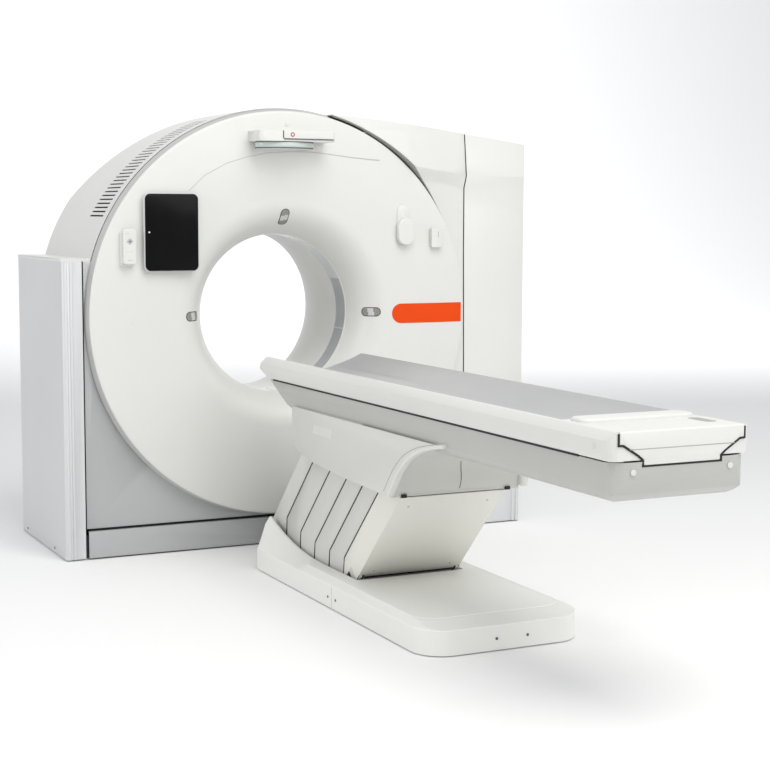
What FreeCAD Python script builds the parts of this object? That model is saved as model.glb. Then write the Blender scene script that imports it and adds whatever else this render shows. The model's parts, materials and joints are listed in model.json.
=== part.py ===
import FreeCAD, Part
import math
import os

# Computed-tomography scanner with its patient table, in millimetres.
# Origin: on the floor, straight under the isocentre.  +X to the right seen from the table,
# +Y into the gantry (the table reaches towards -Y), +Z up.

V = FreeCAD.Vector

# ---------------------------------------------------------------- driving dimensions
# gantry
BORE_R = 350.0            # patient opening, 700 mm across
ISO_Z = 1020.0            # height of the bore's axis
WINDOW_HALF = 54.0        # half length of the clear scan window
SHELL_R = 895.0           # round top cover, outside
DISC_EDGE = 5.0           # the front cover's rim lies this much inside the round top cover
RIM_DEPTH = 40.0          # depth of the front cover's rim band
RIM_TAPER = 10.0          # the rim band is this much smaller at the front
FRONT_Y = -206.0          # front face at the funnel's mouth
CROWN = 8.0               # the front face stands proud by this in its middle
FUNNEL_WIDTH = 155.0      # the front funnel grows from the bore's radius by this
FUNNEL_LEAVE = (0.16, 0.52)   # how the funnel leaves its lip: shares of its width and its depth
FUNNEL_ARRIVE = 0.55      # how it runs into the face: share of its width
REAR_Y = 606.0            # back of the gantry
REAR_FUNNEL_WIDTH = 120.0
REAR_STRAIGHT_Y = 230.0   # the bore stays straight up to here
REAR_SLOPE_Z = 1520.0     # the back leans forward above this height
REAR_LEAN = 0.62          # forward travel for each unit of height there
COVER_T = 4.0             # moulded covers
SHEET_T = 3.0             # steel sheet covers
PLINTH_Y = -164.0         # front of the steel plinth and tower
PANEL_Y = -150.0          # front of the recessed lower panel
PLINTH_TOP = 120.0
GAP_HEIGHT = 10.0         # dark joint over the plinth
FLOOR_GAP = 6.0           # covers end this far over the floor
LEFT_X = -985.0
LEFT_SEAM_X = -900.0
SEAM_W = 9.0              # dark joint beside the left tower
RIGHT_SEAM_X = 905.0
RIGHT_GAP = 6.0
RIGHT_X = 1235.0
RIGHT_BASE_X = 1214.0
TOWER_TOP = 1258.0
FLANGE_T = 12.0
RIGHT_BASE_TOP = 618.0
ENCLOSURE_LEFT = 225.0    # the square enclosure starts here on the round cover
ENCLOSURE_TOP = 1893.0    # its top at ENCLOSURE_LEFT
ENCLOSURE_FALL = (0.0745, 3.7e-5)   # its top falls towards +X by these shares of the run and its square
ENCLOSURE_Y = -154.0      # its front face
BROW_Z = 1633.0           # the brow across it, at the right seam and beyond
BROW_Y = -176.0           # how far forward the brow stands there
BROW_RISE = 0.14          # towards the round cover the brow rises by this share of the run
BROW_REACH = 52.0         # and stands this much further forward
BROW_REACH_X = 600.0      # from here on
BROW_DROP = 55.0          # below the brow the face falls back over this height
CORNER_BEVEL = 26.0       # bevel down its right front corner
VENT_COUNT = 32
VENT_FIRST = 151.5        # degrees from +X, the lowest slot
VENT_PITCH = 1.3
VENT_W = 8.0
VENT_Y = (-100.0, 100.0)

# rotating part
ROTOR_GAP_IN = 30.0       # rotor to bore
ROTOR_GAP_OUT = 97.0      # rotor to round cover
DRUM_Y = 140.0            # front face of the rotor's plate
DRUM_T = 32.0
STATOR_Y = 230.0
STATOR_T = 40.0
RUN_GAP = 0.3             # running clearance of shafts and rings
PULLEY_R = 88.0
PULLEY_AT = (690.0, 300.0)
BELT_T = 6.0
BELT_W = 22.0
FAN_R = 100.0

# patient table
ARM = 476.0               # distance between an arm's two pivots
LEAN = 44.7               # its lean from upright at rest, degrees
PIVOT_Z = 125.0
FOOT_PIVOT_Y = -1322.0
HEAD_PIVOT_Y = -546.0
FOOT_PANEL_OFF = 63.0     # the end panels stand this far out from the line of pivots
HEAD_PANEL_OFF = 50.0
SLATS = 4
SEAM_FIRST_Y = -1268.0    # side seam beside the foot panel
SEAM_PITCH = 142.0
SLAT_LAP = 30.0
SLAT_T = 2.0
FOOT_PANEL_X = 212.0
HEAD_PANEL_X = 203.6
BASE_HALF = 312.0
BASE_FOOT_Y = -2146.0
BASE_HEAD_Y = -575.0
SKIRT_Z = 88.0
DECK_Z = 110.0
LIP_RISE = 84.0           # the base's lip rises by this over LIP_RUN
LIP_START_Y = -1100.0
LIP_RUN = 495.0
TOP_HALF = 212.6          # half width of the cradle
TOP_Z = 868.0
TOP_HEAD_Y = -519.0
TOP_FOOT_Y = -3094.0
RAIL_GAP = 0.8
RAIL_X = TOP_HALF + 27.4
RAIL_BOTTOM = 784.0
HULL_BOTTOM = 664.0
END_PIECE = 304.0         # length of the cradle's end piece
CRADLE_SAG = 62.0         # depth of its hollow
CRADLE_T = 12.0
HOOD_X = RAIL_X          # half width of the pedestal hood at its top
HOOD_FLARE = 0.2          # it widens by this for each unit downwards
DUCT = (60.0, 28.0)       # half width and height of the floor duct

os.makedirs("parts", exist_ok=True)


# ---------------------------------------------------------------- shared helpers
def save(name, *solids):
    """Write one node; several solids go in as a compound."""
    shape = solids[0] if len(solids) == 1 else Part.Compound(list(solids))
    shape.exportStep("parts/" + name + ".step")


def box(x0, x1, y0, y1, z0, z1):
    return Part.makeBox(x1 - x0, y1 - y0, z1 - z0, V(x0, y0, z0))


def cyl(radius, start, length, axis):
    return Part.makeCylinder(radius, length, V(*start), V(*axis))


def ring_y(r_in, r_out, y0, y1):
    """A ring round the bore's axis."""
    start = (0, y0, ISO_Z)
    outer = cyl(r_out, start, y1 - y0, (0, 1, 0))
    inner = cyl(r_in, (0, y0 - 1, ISO_Z), y1 - y0 + 2, (0, 1, 0))
    return outer.cut(inner)


def prism_x(points, x0, x1):
    """Outline of (y, z) points carried along X."""
    wire = Part.makePolygon([V(x0, y, z) for y, z in points + points[:1]])
    return Part.Face(wire).extrude(V(x1 - x0, 0, 0))


def prism_y(points, y0, y1):
    """Outline of (x, z) points carried along Y."""
    wire = Part.makePolygon([V(x, y0, z) for x, z in points + points[:1]])
    return Part.Face(wire).extrude(V(0, y1 - y0, 0))


def prism_z(points, z0, z1):
    """Outline of (x, y) points carried along Z."""
    wire = Part.makePolygon([V(x, y, z0) for x, y in points + points[:1]])
    return Part.Face(wire).extrude(V(0, 0, z1 - z0))


def bezier(a, b, c, d):
    curve = Part.BezierCurve()
    curve.setPoles([a, b, c, d])
    return curve.toShape()


def line(a, b):
    return Part.LineSegment(a, b).toShape()


def arc(a, b, c):
    return Part.Arc(a, b, c).toShape()


def revolve_about_bore(edges):
    """Edges drawn as V(radius, y, 0), turned round the bore's axis."""
    face = Part.Face(Part.Wire(Part.__sortEdges__(edges)))
    solid = face.revolve(V(0, 0, 0), V(0, 1, 0), 360)
    solid.translate(V(0, 0, ISO_Z))
    return solid


def round_edges(shape, radius, wanted):
    """Fillet the edges whose midpoint passes the test."""
    edges = [e for e in shape.Edges if wanted(e.valueAt((e.FirstParameter + e.LastParameter) / 2), e)]
    return shape.makeFillet(radius, edges) if edges else shape


def is_along(edge, axis):
    if len(edge.Vertexes) < 2:
        return False
    span = edge.Vertexes[-1].Point - edge.Vertexes[0].Point
    return span.Length > 0 and abs(abs(span.normalize().dot(V(*axis))) - 1) < 1e-6


# ---------------------------------------------------------------- front cover
DISC_R = SHELL_R - DISC_EDGE
RIM_BACK_Y = PANEL_Y - 4.0
RIM_FRONT_Y = RIM_BACK_Y - RIM_DEPTH
DISC_FRONT_R = DISC_R - RIM_TAPER
MOUTH_R = BORE_R + FUNNEL_WIDTH
FACE_END_R = DISC_FRONT_R - 12.0


def front_profile(inset):
    """Section of the front cover's outer surface, moved inward by inset: funnel, crowned face, rim."""
    lip = V(BORE_R + inset, -WINDOW_HALF, 0)
    mouth = V(MOUTH_R, FRONT_Y + inset, 0)
    reach = mouth.x - lip.x
    depth = mouth.y - lip.y
    leave = V(FUNNEL_LEAVE[0] * reach, FUNNEL_LEAVE[1] * depth, 0)
    funnel = bezier(lip, lip + leave, mouth - V(FUNNEL_ARRIVE * reach, 0, 0), mouth)
    face_end = V(FACE_END_R - 0.3 * inset, FRONT_Y + 3.0 + inset, 0)
    middle = V((MOUTH_R + FACE_END_R) / 2, FRONT_Y - CROWN + inset, 0)
    rim_front = V(DISC_FRONT_R - inset, RIM_FRONT_Y + 0.6 * inset, 0)
    rim_back = V(DISC_R - inset, RIM_BACK_Y, 0)
    shoulder = V(DISC_FRONT_R - 4.0 - 0.8 * inset, RIM_FRONT_Y - 6.0 + 0.8 * inset, 0)
    return [funnel, arc(mouth, middle, face_end), arc(face_end, shoulder, rim_front),
            line(rim_front, rim_back)]


def disc_filled(forward=0.0):
    """Everything behind the front cover's outer surface, to cut what seats on it."""
    edges = front_profile(0.0)
    lip = V(BORE_R, -WINDOW_HALF, 0)
    back = V(DISC_R, RIM_BACK_Y, 0)
    edges += [line(back, V(DISC_R, 0, 0)), line(V(DISC_R, 0, 0), V(BORE_R, 0, 0)),
              line(V(BORE_R, 0, 0), lip)]
    solid = revolve_about_bore(edges)
    solid.translate(V(0, -forward, 0))
    return solid


def face_y(x, z):
    """Y of the front cover's crowned face at a point."""
    r = math.hypot(x, z - ISO_Z)
    middle = (MOUTH_R + FACE_END_R) / 2
    half = (FACE_END_R - MOUTH_R) / 2
    return FRONT_Y - CROWN * (1 - ((r - middle) / half) ** 2)


def funnel_point(t):
    """Radius and y on the front funnel, t from 0 at the lip to 1 at the mouth."""
    depth = FRONT_Y + WINDOW_HALF
    r = [BORE_R, BORE_R + FUNNEL_LEAVE[0] * FUNNEL_WIDTH, MOUTH_R - FUNNEL_ARRIVE * FUNNEL_WIDTH, MOUTH_R]
    y = [-WINDOW_HALF, -WINDOW_HALF + FUNNEL_LEAVE[1] * depth, FRONT_Y, FRONT_Y]
    w = [(1 - t) ** 3, 3 * t * (1 - t) ** 2, 3 * t * t * (1 - t), t ** 3]
    return sum(a * b for a, b in zip(w, r)), sum(a * b for a, b in zip(w, y))


DISC_SOLID = disc_filled()


def pill_prism(length, width, depth):
    """A pill with its long axis along X and its depth along -Y, centred on the origin."""
    r = width / 2
    half = length / 2 - r
    body = box(-half, half, -depth / 2, depth / 2, -r, r)
    for x in (-half, half):
        body = body.fuse(cyl(r, (x, -depth / 2, 0), depth, (0, 1, 0)))
    return body.removeSplitter()


LASER_ANGLES = (0.0, 90.0, 180.0)
LASER_T = 0.60            # place along the funnel
LASER_SIZE = (92.0, 42.0, 9.0)


def laser_pill(angle, grow):
    """One alignment-laser window, set along the funnel's slope."""
    r, y = funnel_point(LASER_T)
    r2, y2 = funnel_point(LASER_T + 0.02)
    slope = math.degrees(math.atan2(y2 - y, r2 - r))
    pill = pill_prism(LASER_SIZE[0] + 2 * grow, LASER_SIZE[1] + 2 * grow, LASER_SIZE[2] + grow)
    pill.rotate(V(0, 0, 0), V(0, 0, 1), slope)
    pill.translate(V(r, y, 0))
    pill.rotate(V(0, 0, 0), V(0, 1, 0), -angle)
    pill.translate(V(0, 0, ISO_Z))
    return pill


def make_front_cover():
    outer = front_profile(0.0)
    inner = front_profile(COVER_T)
    lip_edge = line(V(BORE_R, -WINDOW_HALF, 0), V(BORE_R + COVER_T, -WINDOW_HALF, 0))
    back_edge = line(V(DISC_R, RIM_BACK_Y, 0), V(DISC_R - COVER_T, RIM_BACK_Y, 0))
    shell = revolve_about_bore(outer + [back_edge] + inner + [lip_edge])
    for angle in LASER_ANGLES:
        shell = shell.cut(laser_pill(angle, RUN_GAP))
    return shell


def make_laser_windows():
    behind = DISC_SOLID
    return [laser_pill(angle, 0.0).common(behind) for angle in LASER_ANGLES]


save("front_cover", make_front_cover())
save("laser_windows", *make_laser_windows())
save("scan_window", ring_y(BORE_R, BORE_R + 3.0, -WINDOW_HALF, WINDOW_HALF))


# ---------------------------------------------------------------- covers round the gantry
def rear_halfspace(inset):
    """All that lies in front of the back cover's surface, moved forward by inset."""
    top = 2400.0
    lean_y = REAR_Y - inset - REAR_LEAN * (top - REAR_SLOPE_Z)
    return prism_x([(-2000.0, -100.0), (REAR_Y - inset, -100.0), (REAR_Y - inset, REAR_SLOPE_Z),
                    (lean_y, top), (-2000.0, top)], -3000.0, 3000.0)


def brow_share(x):
    """0 at the right seam, 1 where the brow stands furthest forward."""
    return min(1.0, max(0.0, (RIGHT_SEAM_X - x) / (RIGHT_SEAM_X - BROW_REACH_X)))


def enclosure_front(x, inset):
    """Front outline of the square enclosure at x as (y, z) points, from the top down."""
    reach = BROW_REACH * brow_share(x)
    z = BROW_Z + BROW_RISE * max(0.0, RIGHT_SEAM_X - x)
    rows = [(ENCLOSURE_Y - 0.8 * reach, ENCLOSURE_TOP + 100.0), (ENCLOSURE_Y - 0.8 * reach, ENCLOSURE_TOP - 60.0),
            (BROW_Y - reach, z), (ENCLOSURE_Y - 0.8 * reach, z - BROW_DROP),
            (ENCLOSURE_Y - 0.3 * reach, z - 3.0 * BROW_DROP), (ENCLOSURE_Y, z - 6.0 * BROW_DROP),
            (ENCLOSURE_Y - 10.0, 746.0), (ENCLOSURE_Y - 10.0, FLOOR_GAP - 50.0)]
    return [(y + inset, z) for y, z in rows]


def enclosure_top(x):
    """Height of the enclosure's top at x: a shallow curve falling towards +X."""
    run = x - ENCLOSURE_LEFT
    return ENCLOSURE_TOP - ENCLOSURE_FALL[0] * run - ENCLOSURE_FALL[1] * run * run


def enclosure_block(x0, x1, inset):
    """The square enclosure from x0 to x1 as a filled block, moved inward by inset."""
    stations = [x0] + [x for x in (BROW_REACH_X, RIGHT_SEAM_X) if x0 < x < x1] + [x1]
    rings = []
    for x in stations:
        ring = enclosure_front(x, inset) + [(REAR_Y + 100.0, -50.0), (REAR_Y + 100.0, 2000.0)]
        rings.append(Part.makePolygon([V(x, y, z) for y, z in ring + ring[:1]]))
    block = Part.makeLoft(rings[:2], True, True)
    for a, b in zip(rings[1:], rings[2:]):
        block = block.fuse(Part.makeLoft([a, b], True, True))
    near = ENCLOSURE_LEFT - 300.0
    step = (RIGHT_X + 90.0 - ENCLOSURE_LEFT) / 8.0
    crest = [(ENCLOSURE_LEFT + step * k, enclosure_top(ENCLOSURE_LEFT + step * k) - inset) for k in range(9)]
    under = prism_y([(near, enclosure_top(ENCLOSURE_LEFT) - inset)] + crest
                    + [(crest[-1][0], -100.0), (near, -100.0)], -1000.0, 2000.0)
    return block.common(under)


def corner_wedge(inset):
    """What the bevel takes off the enclosure's right front corner."""
    x = RIGHT_X - inset
    y = BROW_Y
    back = y + 1.55 * CORNER_BEVEL
    return prism_z([(x - CORNER_BEVEL, y - 200.0), (x - CORNER_BEVEL, y + inset * 0.4), (x, back + inset * 0.4),
                    (x + 200.0, back), (x + 200.0, y - 200.0)], -100.0, 2200.0)


def make_right_upper_cover():
    x1 = RIGHT_SEAM_X - RIGHT_GAP / 2
    outer = enclosure_block(ENCLOSURE_LEFT, x1, 0.0)
    inner = enclosure_block(ENCLOSURE_LEFT - 1.0, x1 + 1.0, COVER_T)
    clear_r = SHELL_R + 2.0
    shell = outer.cut(inner)
    recess_wall = ring_y(clear_r, clear_r + COVER_T, BROW_Y - BROW_REACH - 20.0, PANEL_Y + 2.0)
    shell = shell.fuse(recess_wall.common(outer))
    shell = shell.cut(cyl(clear_r, (0, BROW_Y - BROW_REACH - 60.0, ISO_Z), 2000.0, (0, 1, 0)))
    shell = shell.common(rear_halfspace(COVER_T + 0.5))
    shell = shell.common(box(ENCLOSURE_LEFT, x1, -1000.0, 2000.0, RIGHT_BASE_TOP + 4.0, 2200.0))
    return max(shell.Solids, key=lambda s: s.Volume)


def make_right_tower_cover():
    x0 = RIGHT_SEAM_X + RIGHT_GAP / 2
    outer = enclosure_block(x0, RIGHT_X, 0.0).cut(corner_wedge(0.0))
    inner = enclosure_block(x0 - 1.0, RIGHT_X - COVER_T, COVER_T).cut(corner_wedge(COVER_T))
    shell = outer.cut(inner).common(rear_halfspace(COVER_T + 0.5))
    shell = shell.common(box(x0, RIGHT_X, -1000.0, 2000.0, RIGHT_BASE_TOP + 4.0, 2200.0))
    return max(shell.Solids, key=lambda s: s.Volume)


def tower_shell(x_open, x_out, z1, top_t):
    """Steel tower cover: open towards the gantry's middle and below, two beads at its front corner."""
    side = 1 if x_out > x_open else -1
    lo, hi = sorted((x_open, x_out))
    outer = box(lo, hi, PLINTH_Y, REAR_Y - 0.5, FLOOR_GAP, z1)
    corner = lambda p, e: is_along(e, (0, 0, 1)) and abs(p.x - x_out) < 1
    outer = round_edges(outer, 12.0, corner)
    for step in (16.0, 38.0):
        bead = cyl(7.0, (x_out - side * step, PLINTH_Y, FLOOR_GAP), z1 - FLOOR_GAP, (0, 0, 1))
        outer = outer.fuse(bead)
    if side > 0:
        inner = box(x_open - 1.0, x_out - SHEET_T - 8.0, PLINTH_Y + SHEET_T + 6.0, REAR_Y - SHEET_T,
                    FLOOR_GAP - 1.0, z1 - top_t)
    else:
        inner = box(x_out + SHEET_T + 8.0, x_open + 1.0, PLINTH_Y + SHEET_T + 6.0, REAR_Y - SHEET_T,
                    FLOOR_GAP - 1.0, z1 - top_t)
    return outer.cut(inner).removeSplitter()


def vent_slots():
    """The row of slots just behind the front cover, each along the bore's axis."""
    slots = []
    for k in range(VENT_COUNT):
        slot = box(SHELL_R - 30.0, SHELL_R + 30.0, VENT_Y[0], VENT_Y[1], -VENT_W / 2, VENT_W / 2)
        slot.rotate(V(0, 0, 0), V(0, 1, 0), -(VENT_FIRST - k * VENT_PITCH))
        slot.translate(V(0, 0, ISO_Z))
        slots.append(slot)
    return slots


def make_round_top_cover():
    shell = ring_y(SHELL_R - COVER_T, SHELL_R, PANEL_Y + 2.0, REAR_Y)
    shell = shell.common(box(-2000.0, ENCLOSURE_LEFT - 3.0, -1000.0, 2000.0, TOWER_TOP, 3000.0))
    flange = box(LEFT_X, -SHELL_R * 0.9, PANEL_Y + 2.0, REAR_Y, TOWER_TOP, TOWER_TOP + FLANGE_T)
    flange = flange.cut(cyl(SHELL_R - COVER_T, (0, -1000.0, ISO_Z), 3000.0, (0, 1, 0)))
    shell = shell.fuse(flange).common(rear_halfspace(COVER_T + 0.5))
    return shell.cut(Part.Compound(vent_slots())).removeSplitter()


def bore_tunnel():
    """Back half of the bore: straight, then flaring to the back face."""
    mouth_r = BORE_R + REAR_FUNNEL_WIDTH
    start_y = WINDOW_HALF
    a = V(BORE_R, start_y, 0)
    b = V(BORE_R, REAR_STRAIGHT_Y, 0)
    c = V(mouth_r, REAR_Y, 0)
    t = COVER_T
    edges = [line(a, b), bezier(b, b + V(0, 200.0, 0), c - V(60.0, 0, 0), c)]
    c2 = V(mouth_r + t, REAR_Y, 0)
    b2 = V(BORE_R + t, REAR_STRAIGHT_Y, 0)
    edges += [line(c, c2), bezier(c2, c2 - V(62.0, 0, 0) - V(0, t, 0), b2 + V(0, 200.0 - t, 0), b2)]
    edges += [line(b2, V(BORE_R + t, start_y, 0)), line(V(BORE_R + t, start_y, 0), a)]
    return revolve_about_bore(edges)


def make_rear_cover():
    inner_r = SHELL_R - COVER_T - 0.5
    lower = box(LEFT_SEAM_X + 3.0, RIGHT_X - COVER_T - 1.0, -500.0, 2000.0, FLOOR_GAP, TOWER_TOP - 1.0)
    dome = cyl(inner_r, (0, -500.0, ISO_Z), 3000.0, (0, 1, 0))
    dome = dome.common(box(-2000.0, ENCLOSURE_LEFT + 50.0, -1000.0, 3000.0, TOWER_TOP - 1.0, 3000.0))
    square = enclosure_block(ENCLOSURE_LEFT, RIGHT_X - COVER_T - 1.0, COVER_T + 1.0)
    square = square.common(box(-2000.0, 2000.0, -1000.0, 3000.0, TOWER_TOP - 1.0, 3000.0))
    outline = lower.fuse(dome).fuse(square)
    plate = outline.common(rear_halfspace(0.0)).cut(rear_halfspace(COVER_T))
    # below the moulded tower cover the steel tower closes the back itself
    plate = plate.cut(box(RIGHT_SEAM_X + RIGHT_GAP / 2, 2000.0, -1000.0, 2000.0, -100.0,
                          RIGHT_BASE_TOP + 4.0))
    mouth = cyl(BORE_R + REAR_FUNNEL_WIDTH + 1.0, (0, 0, ISO_Z), 2000.0, (0, 1, 0))
    return plate.cut(mouth).fuse(bore_tunnel()).removeSplitter()


def make_lower_front_panel():
    x0 = LEFT_SEAM_X + SEAM_W
    x1 = RIGHT_SEAM_X - RIGHT_GAP / 2
    panel = box(x0, x1, PANEL_Y, PANEL_Y + SHEET_T, PLINTH_TOP + GAP_HEIGHT, TOWER_TOP)
    panel = panel.cut(box(0.0, 2000.0, -1000.0, 1000.0, RIGHT_BASE_TOP, 3000.0))
    panel = panel.cut(cyl(DISC_R - 20.0, (0, -1000.0, ISO_Z), 2000.0, (0, 1, 0)))
    return max(panel.Solids, key=lambda s: s.Volume)


def make_plinth_cover():
    x0 = LEFT_SEAM_X + 14.0
    x1 = RIGHT_SEAM_X - RIGHT_GAP / 2
    outer = box(x0, x1, PLINTH_Y, PANEL_Y + SHEET_T, FLOOR_GAP, PLINTH_TOP)
    inner = box(x0 - 1, x1 + 1, PLINTH_Y + SHEET_T, PANEL_Y + SHEET_T + 1, FLOOR_GAP - 1,
                PLINTH_TOP - SHEET_T)
    notch = box(-DUCT[0] - 1.0, DUCT[0] + 1.0, PLINTH_Y - 1.0, PANEL_Y, 0.0, DUCT[1] + 1.0)
    return outer.cut(inner).cut(notch)


def make_gap_seals():
    """Black strips behind the joints between the covers."""
    y0 = PANEL_Y + SHEET_T
    left = box(LEFT_SEAM_X - 8.0, LEFT_SEAM_X + SEAM_W + 8.0, y0, y0 + 4.0, PLINTH_TOP + 8.0,
               TOWER_TOP - 6.0)
    low = box(LEFT_SEAM_X + SEAM_W + 10.0, RIGHT_SEAM_X - 10.0, y0, y0 + 4.0, PLINTH_TOP - 2.0,
              PLINTH_TOP + GAP_HEIGHT + 6.0)
    ring = ring_y(DISC_R - 18.0, DISC_R - 3.0, RIM_BACK_Y, RIM_BACK_Y + 3.9)
    front = enclosure_front(RIGHT_SEAM_X, COVER_T)
    back = [(y + 4.0, z) for y, z in reversed(front)]
    right = prism_x(front + back, RIGHT_SEAM_X - RIGHT_GAP / 2 + 0.1, RIGHT_SEAM_X + 8.0)
    limit = box(0.0, 2000.0, -1000.0, 1000.0, RIGHT_BASE_TOP + 6.0, ENCLOSURE_TOP - 100.0)
    right = right.common(limit)
    return [left, low, ring, right]


def make_right_tower_base():
    return tower_shell(RIGHT_SEAM_X + RIGHT_GAP / 2, RIGHT_BASE_X, RIGHT_BASE_TOP, -1.0)


save("round_top_cover", make_round_top_cover())
save("right_upper_cover", make_right_upper_cover())
save("right_tower_cover", make_right_tower_cover())
save("right_tower_base", make_right_tower_base())
save("left_tower_cover", tower_shell(LEFT_SEAM_X, LEFT_X, TOWER_TOP, SHEET_T))
save("lower_front_panel", make_lower_front_panel())
save("plinth_cover", make_plinth_cover())
save("gap_seals", *make_gap_seals())
save("rear_cover", make_rear_cover())

# ---------------------------------------------------------------- gantry frame and fixed parts
FRAME_X = (LEFT_X + 25.0, RIGHT_BASE_X - 25.0)
FRAME_Y = (-120.0, 560.0)
FLOOR_PLATE = 20.0
RIB_T = 14.0
RIB_TOP = 100.0
PILLAR_X = (790.0, 870.0)
PILLAR_Y = (STATOR_Y + STATOR_T, STATOR_Y + STATOR_T + 130.0)
ANCHOR_R = 10.0
ANCHOR_X = 660.0
ANCHOR_Y = (-90.0, 530.0)
ROTOR_IN = BORE_R + ROTOR_GAP_IN
ROTOR_OUT = SHELL_R - ROTOR_GAP_OUT
STATOR_OUT = ROTOR_OUT + 2.0


def make_base_frame():
    """Welded floor frame with two hollow pillars and the drive motor's bracket."""
    x0, x1 = FRAME_X
    y0, y1 = FRAME_Y
    frame = box(x0, x1, y0, y1, 0.0, FLOOR_PLATE)
    for wx0, wx1 in ((x0 + 190.0, -140.0), (140.0, 560.0), (920.0, x1 - 60.0)):
        frame = frame.cut(box(wx0, wx1, y0 + 90.0, y1 - 90.0, -1.0, FLOOR_PLATE + 1.0))
    for ry in (y0, y1 - RIB_T):
        frame = frame.fuse(box(x0, x1, ry, ry + RIB_T, FLOOR_PLATE, RIB_TOP))
    for side in (-1, 1):
        px0, px1 = sorted((side * PILLAR_X[0], side * PILLAR_X[1]))
        pillar = box(px0, px1, PILLAR_Y[0], PILLAR_Y[1], FLOOR_PLATE, ISO_Z)
        hollow = box(px0 + 10, px1 - 10, PILLAR_Y[0] + 10, PILLAR_Y[1] - 10, FLOOR_PLATE + 10, ISO_Z + 1)
        gusset = prism_x([(PILLAR_Y[1], FLOOR_PLATE), (y1 - RIB_T, FLOOR_PLATE), (PILLAR_Y[1], 420.0)],
                         (px0 + px1) / 2 - 8.0, (px0 + px1) / 2 + 8.0)
        frame = frame.fuse(pillar.cut(hollow)).fuse(gusset)
    mx, mz = PULLEY_AT
    bracket = box(mx - 95.0, mx + 95.0, 186.0, 198.0, FLOOR_PLATE, mz + 92.0)
    bracket = bracket.cut(cyl(14.0 + RUN_GAP, (mx, 100.0, mz), 200.0, (0, 1, 0)))
    frame = frame.fuse(bracket)
    for ax in (-ANCHOR_X, ANCHOR_X):
        for ay in ANCHOR_Y:
            frame = frame.cut(cyl(ANCHOR_R, (ax, ay, -1.0), FLOOR_PLATE + 2.0, (0, 0, 1)))
    return frame.removeSplitter()


FAN_AT = (0.0, ISO_Z + (ROTOR_OUT - 8.0 + ROTOR_IN) / 2 + 36.0)


def make_stator_ring():
    """Upright steel ring bolted to the pillars; it carries the main bearing."""
    ring = ring_y(ROTOR_IN + 40.0, STATOR_OUT, STATOR_Y, STATOR_Y + STATOR_T)
    for side in (-1, 1):
        ex0, ex1 = sorted((side * 700.0, side * PILLAR_X[1]))
        ring = ring.fuse(box(ex0, ex1, STATOR_Y, STATOR_Y + STATOR_T, ISO_Z - 260.0, ISO_Z))
    ring = ring.cut(cyl(FAN_R * 0.9, (FAN_AT[0], STATOR_Y - 1, FAN_AT[1]), STATOR_T + 2, (0, 1, 0)))
    return ring.removeSplitter()


RACE_R = 606.0
INNER_RACE = (565.0, 600.0)
OUTER_RACE = (612.0, 650.0)
RACE_Y = STATOR_Y - 50.0


def make_fan_housing():
    x, z = FAN_AT
    y0 = STATOR_Y + STATOR_T
    y1 = y0 + 60.0
    body = box(x - FAN_R - 20.0, x + FAN_R + 20.0, y0, y1, z - FAN_R - 12.0, z + FAN_R + 12.0)
    body = body.cut(cyl(FAN_R + 4.0, (x, y0 - 1, z), 62.0, (0, 1, 0)))
    spider = box(x - FAN_R - 10.0, x + FAN_R + 10.0, y1 - 8.0, y1, z - 7.0, z + 7.0)
    spider = spider.fuse(cyl(24.0, (x, y1 - 10.0, z), 10.0, (0, 1, 0)))
    spindle = cyl(4.0, (x, y0 + 12.0, z), 40.0, (0, 1, 0))
    return body.fuse(spider).fuse(spindle).removeSplitter()


def make_cooling_fan():
    x, z = FAN_AT
    y0 = STATOR_Y + STATOR_T + 12.0
    hub = cyl(26.0, (x, y0, z), 36.0, (0, 1, 0))
    fan = hub
    for k in range(7):
        blade = box(20.0, FAN_R, -1.5, 1.5, -14.0, 14.0)
        blade.rotate(V(0, 0, 0), V(1, 0, 0), 38.0)
        blade.rotate(V(0, 0, 0), V(0, 1, 0), k * 360.0 / 7)
        blade.translate(V(x, y0 + 18.0, z))
        fan = fan.fuse(blade)
    return fan.cut(cyl(4.0 + RUN_GAP, (x, y0 - 5.0, z), 80.0, (0, 1, 0))).removeSplitter()


def belt_band(r_rotor, r_pulley):
    """Filled outline of a belt loop round the rotor and the motor's pulley."""
    mx, mz = PULLEY_AT
    dx, dz = mx, mz - ISO_Z
    dist = math.hypot(dx, dz)
    heading = math.atan2(dz, dx)
    turn = math.acos((r_rotor - r_pulley) / dist)
    y0 = DRUM_Y + (DRUM_T - BELT_W) / 2
    corners = []
    for side, centre, radius in ((1, (0, ISO_Z), r_rotor), (1, (mx, mz), r_pulley),
                                 (-1, (mx, mz), r_pulley), (-1, (0, ISO_Z), r_rotor)):
        angle = heading + side * turn
        corners.append((centre[0] + radius * math.cos(angle), centre[1] + radius * math.sin(angle)))
    band = prism_y(corners, y0, y0 + BELT_W)
    band = band.fuse(cyl(r_rotor, (0, y0, ISO_Z), BELT_W, (0, 1, 0)))
    return band.fuse(cyl(r_pulley, (mx, y0, mz), BELT_W, (0, 1, 0)))


GROOVE_R = ROTOR_OUT - 8.0
BELT_GAP = 0.6


def make_drive_belt():
    outer = belt_band(GROOVE_R + BELT_GAP + BELT_T, PULLEY_R + BELT_GAP + BELT_T)
    inner = belt_band(GROOVE_R + BELT_GAP, PULLEY_R + BELT_GAP)
    return outer.cut(inner).removeSplitter()


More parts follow.
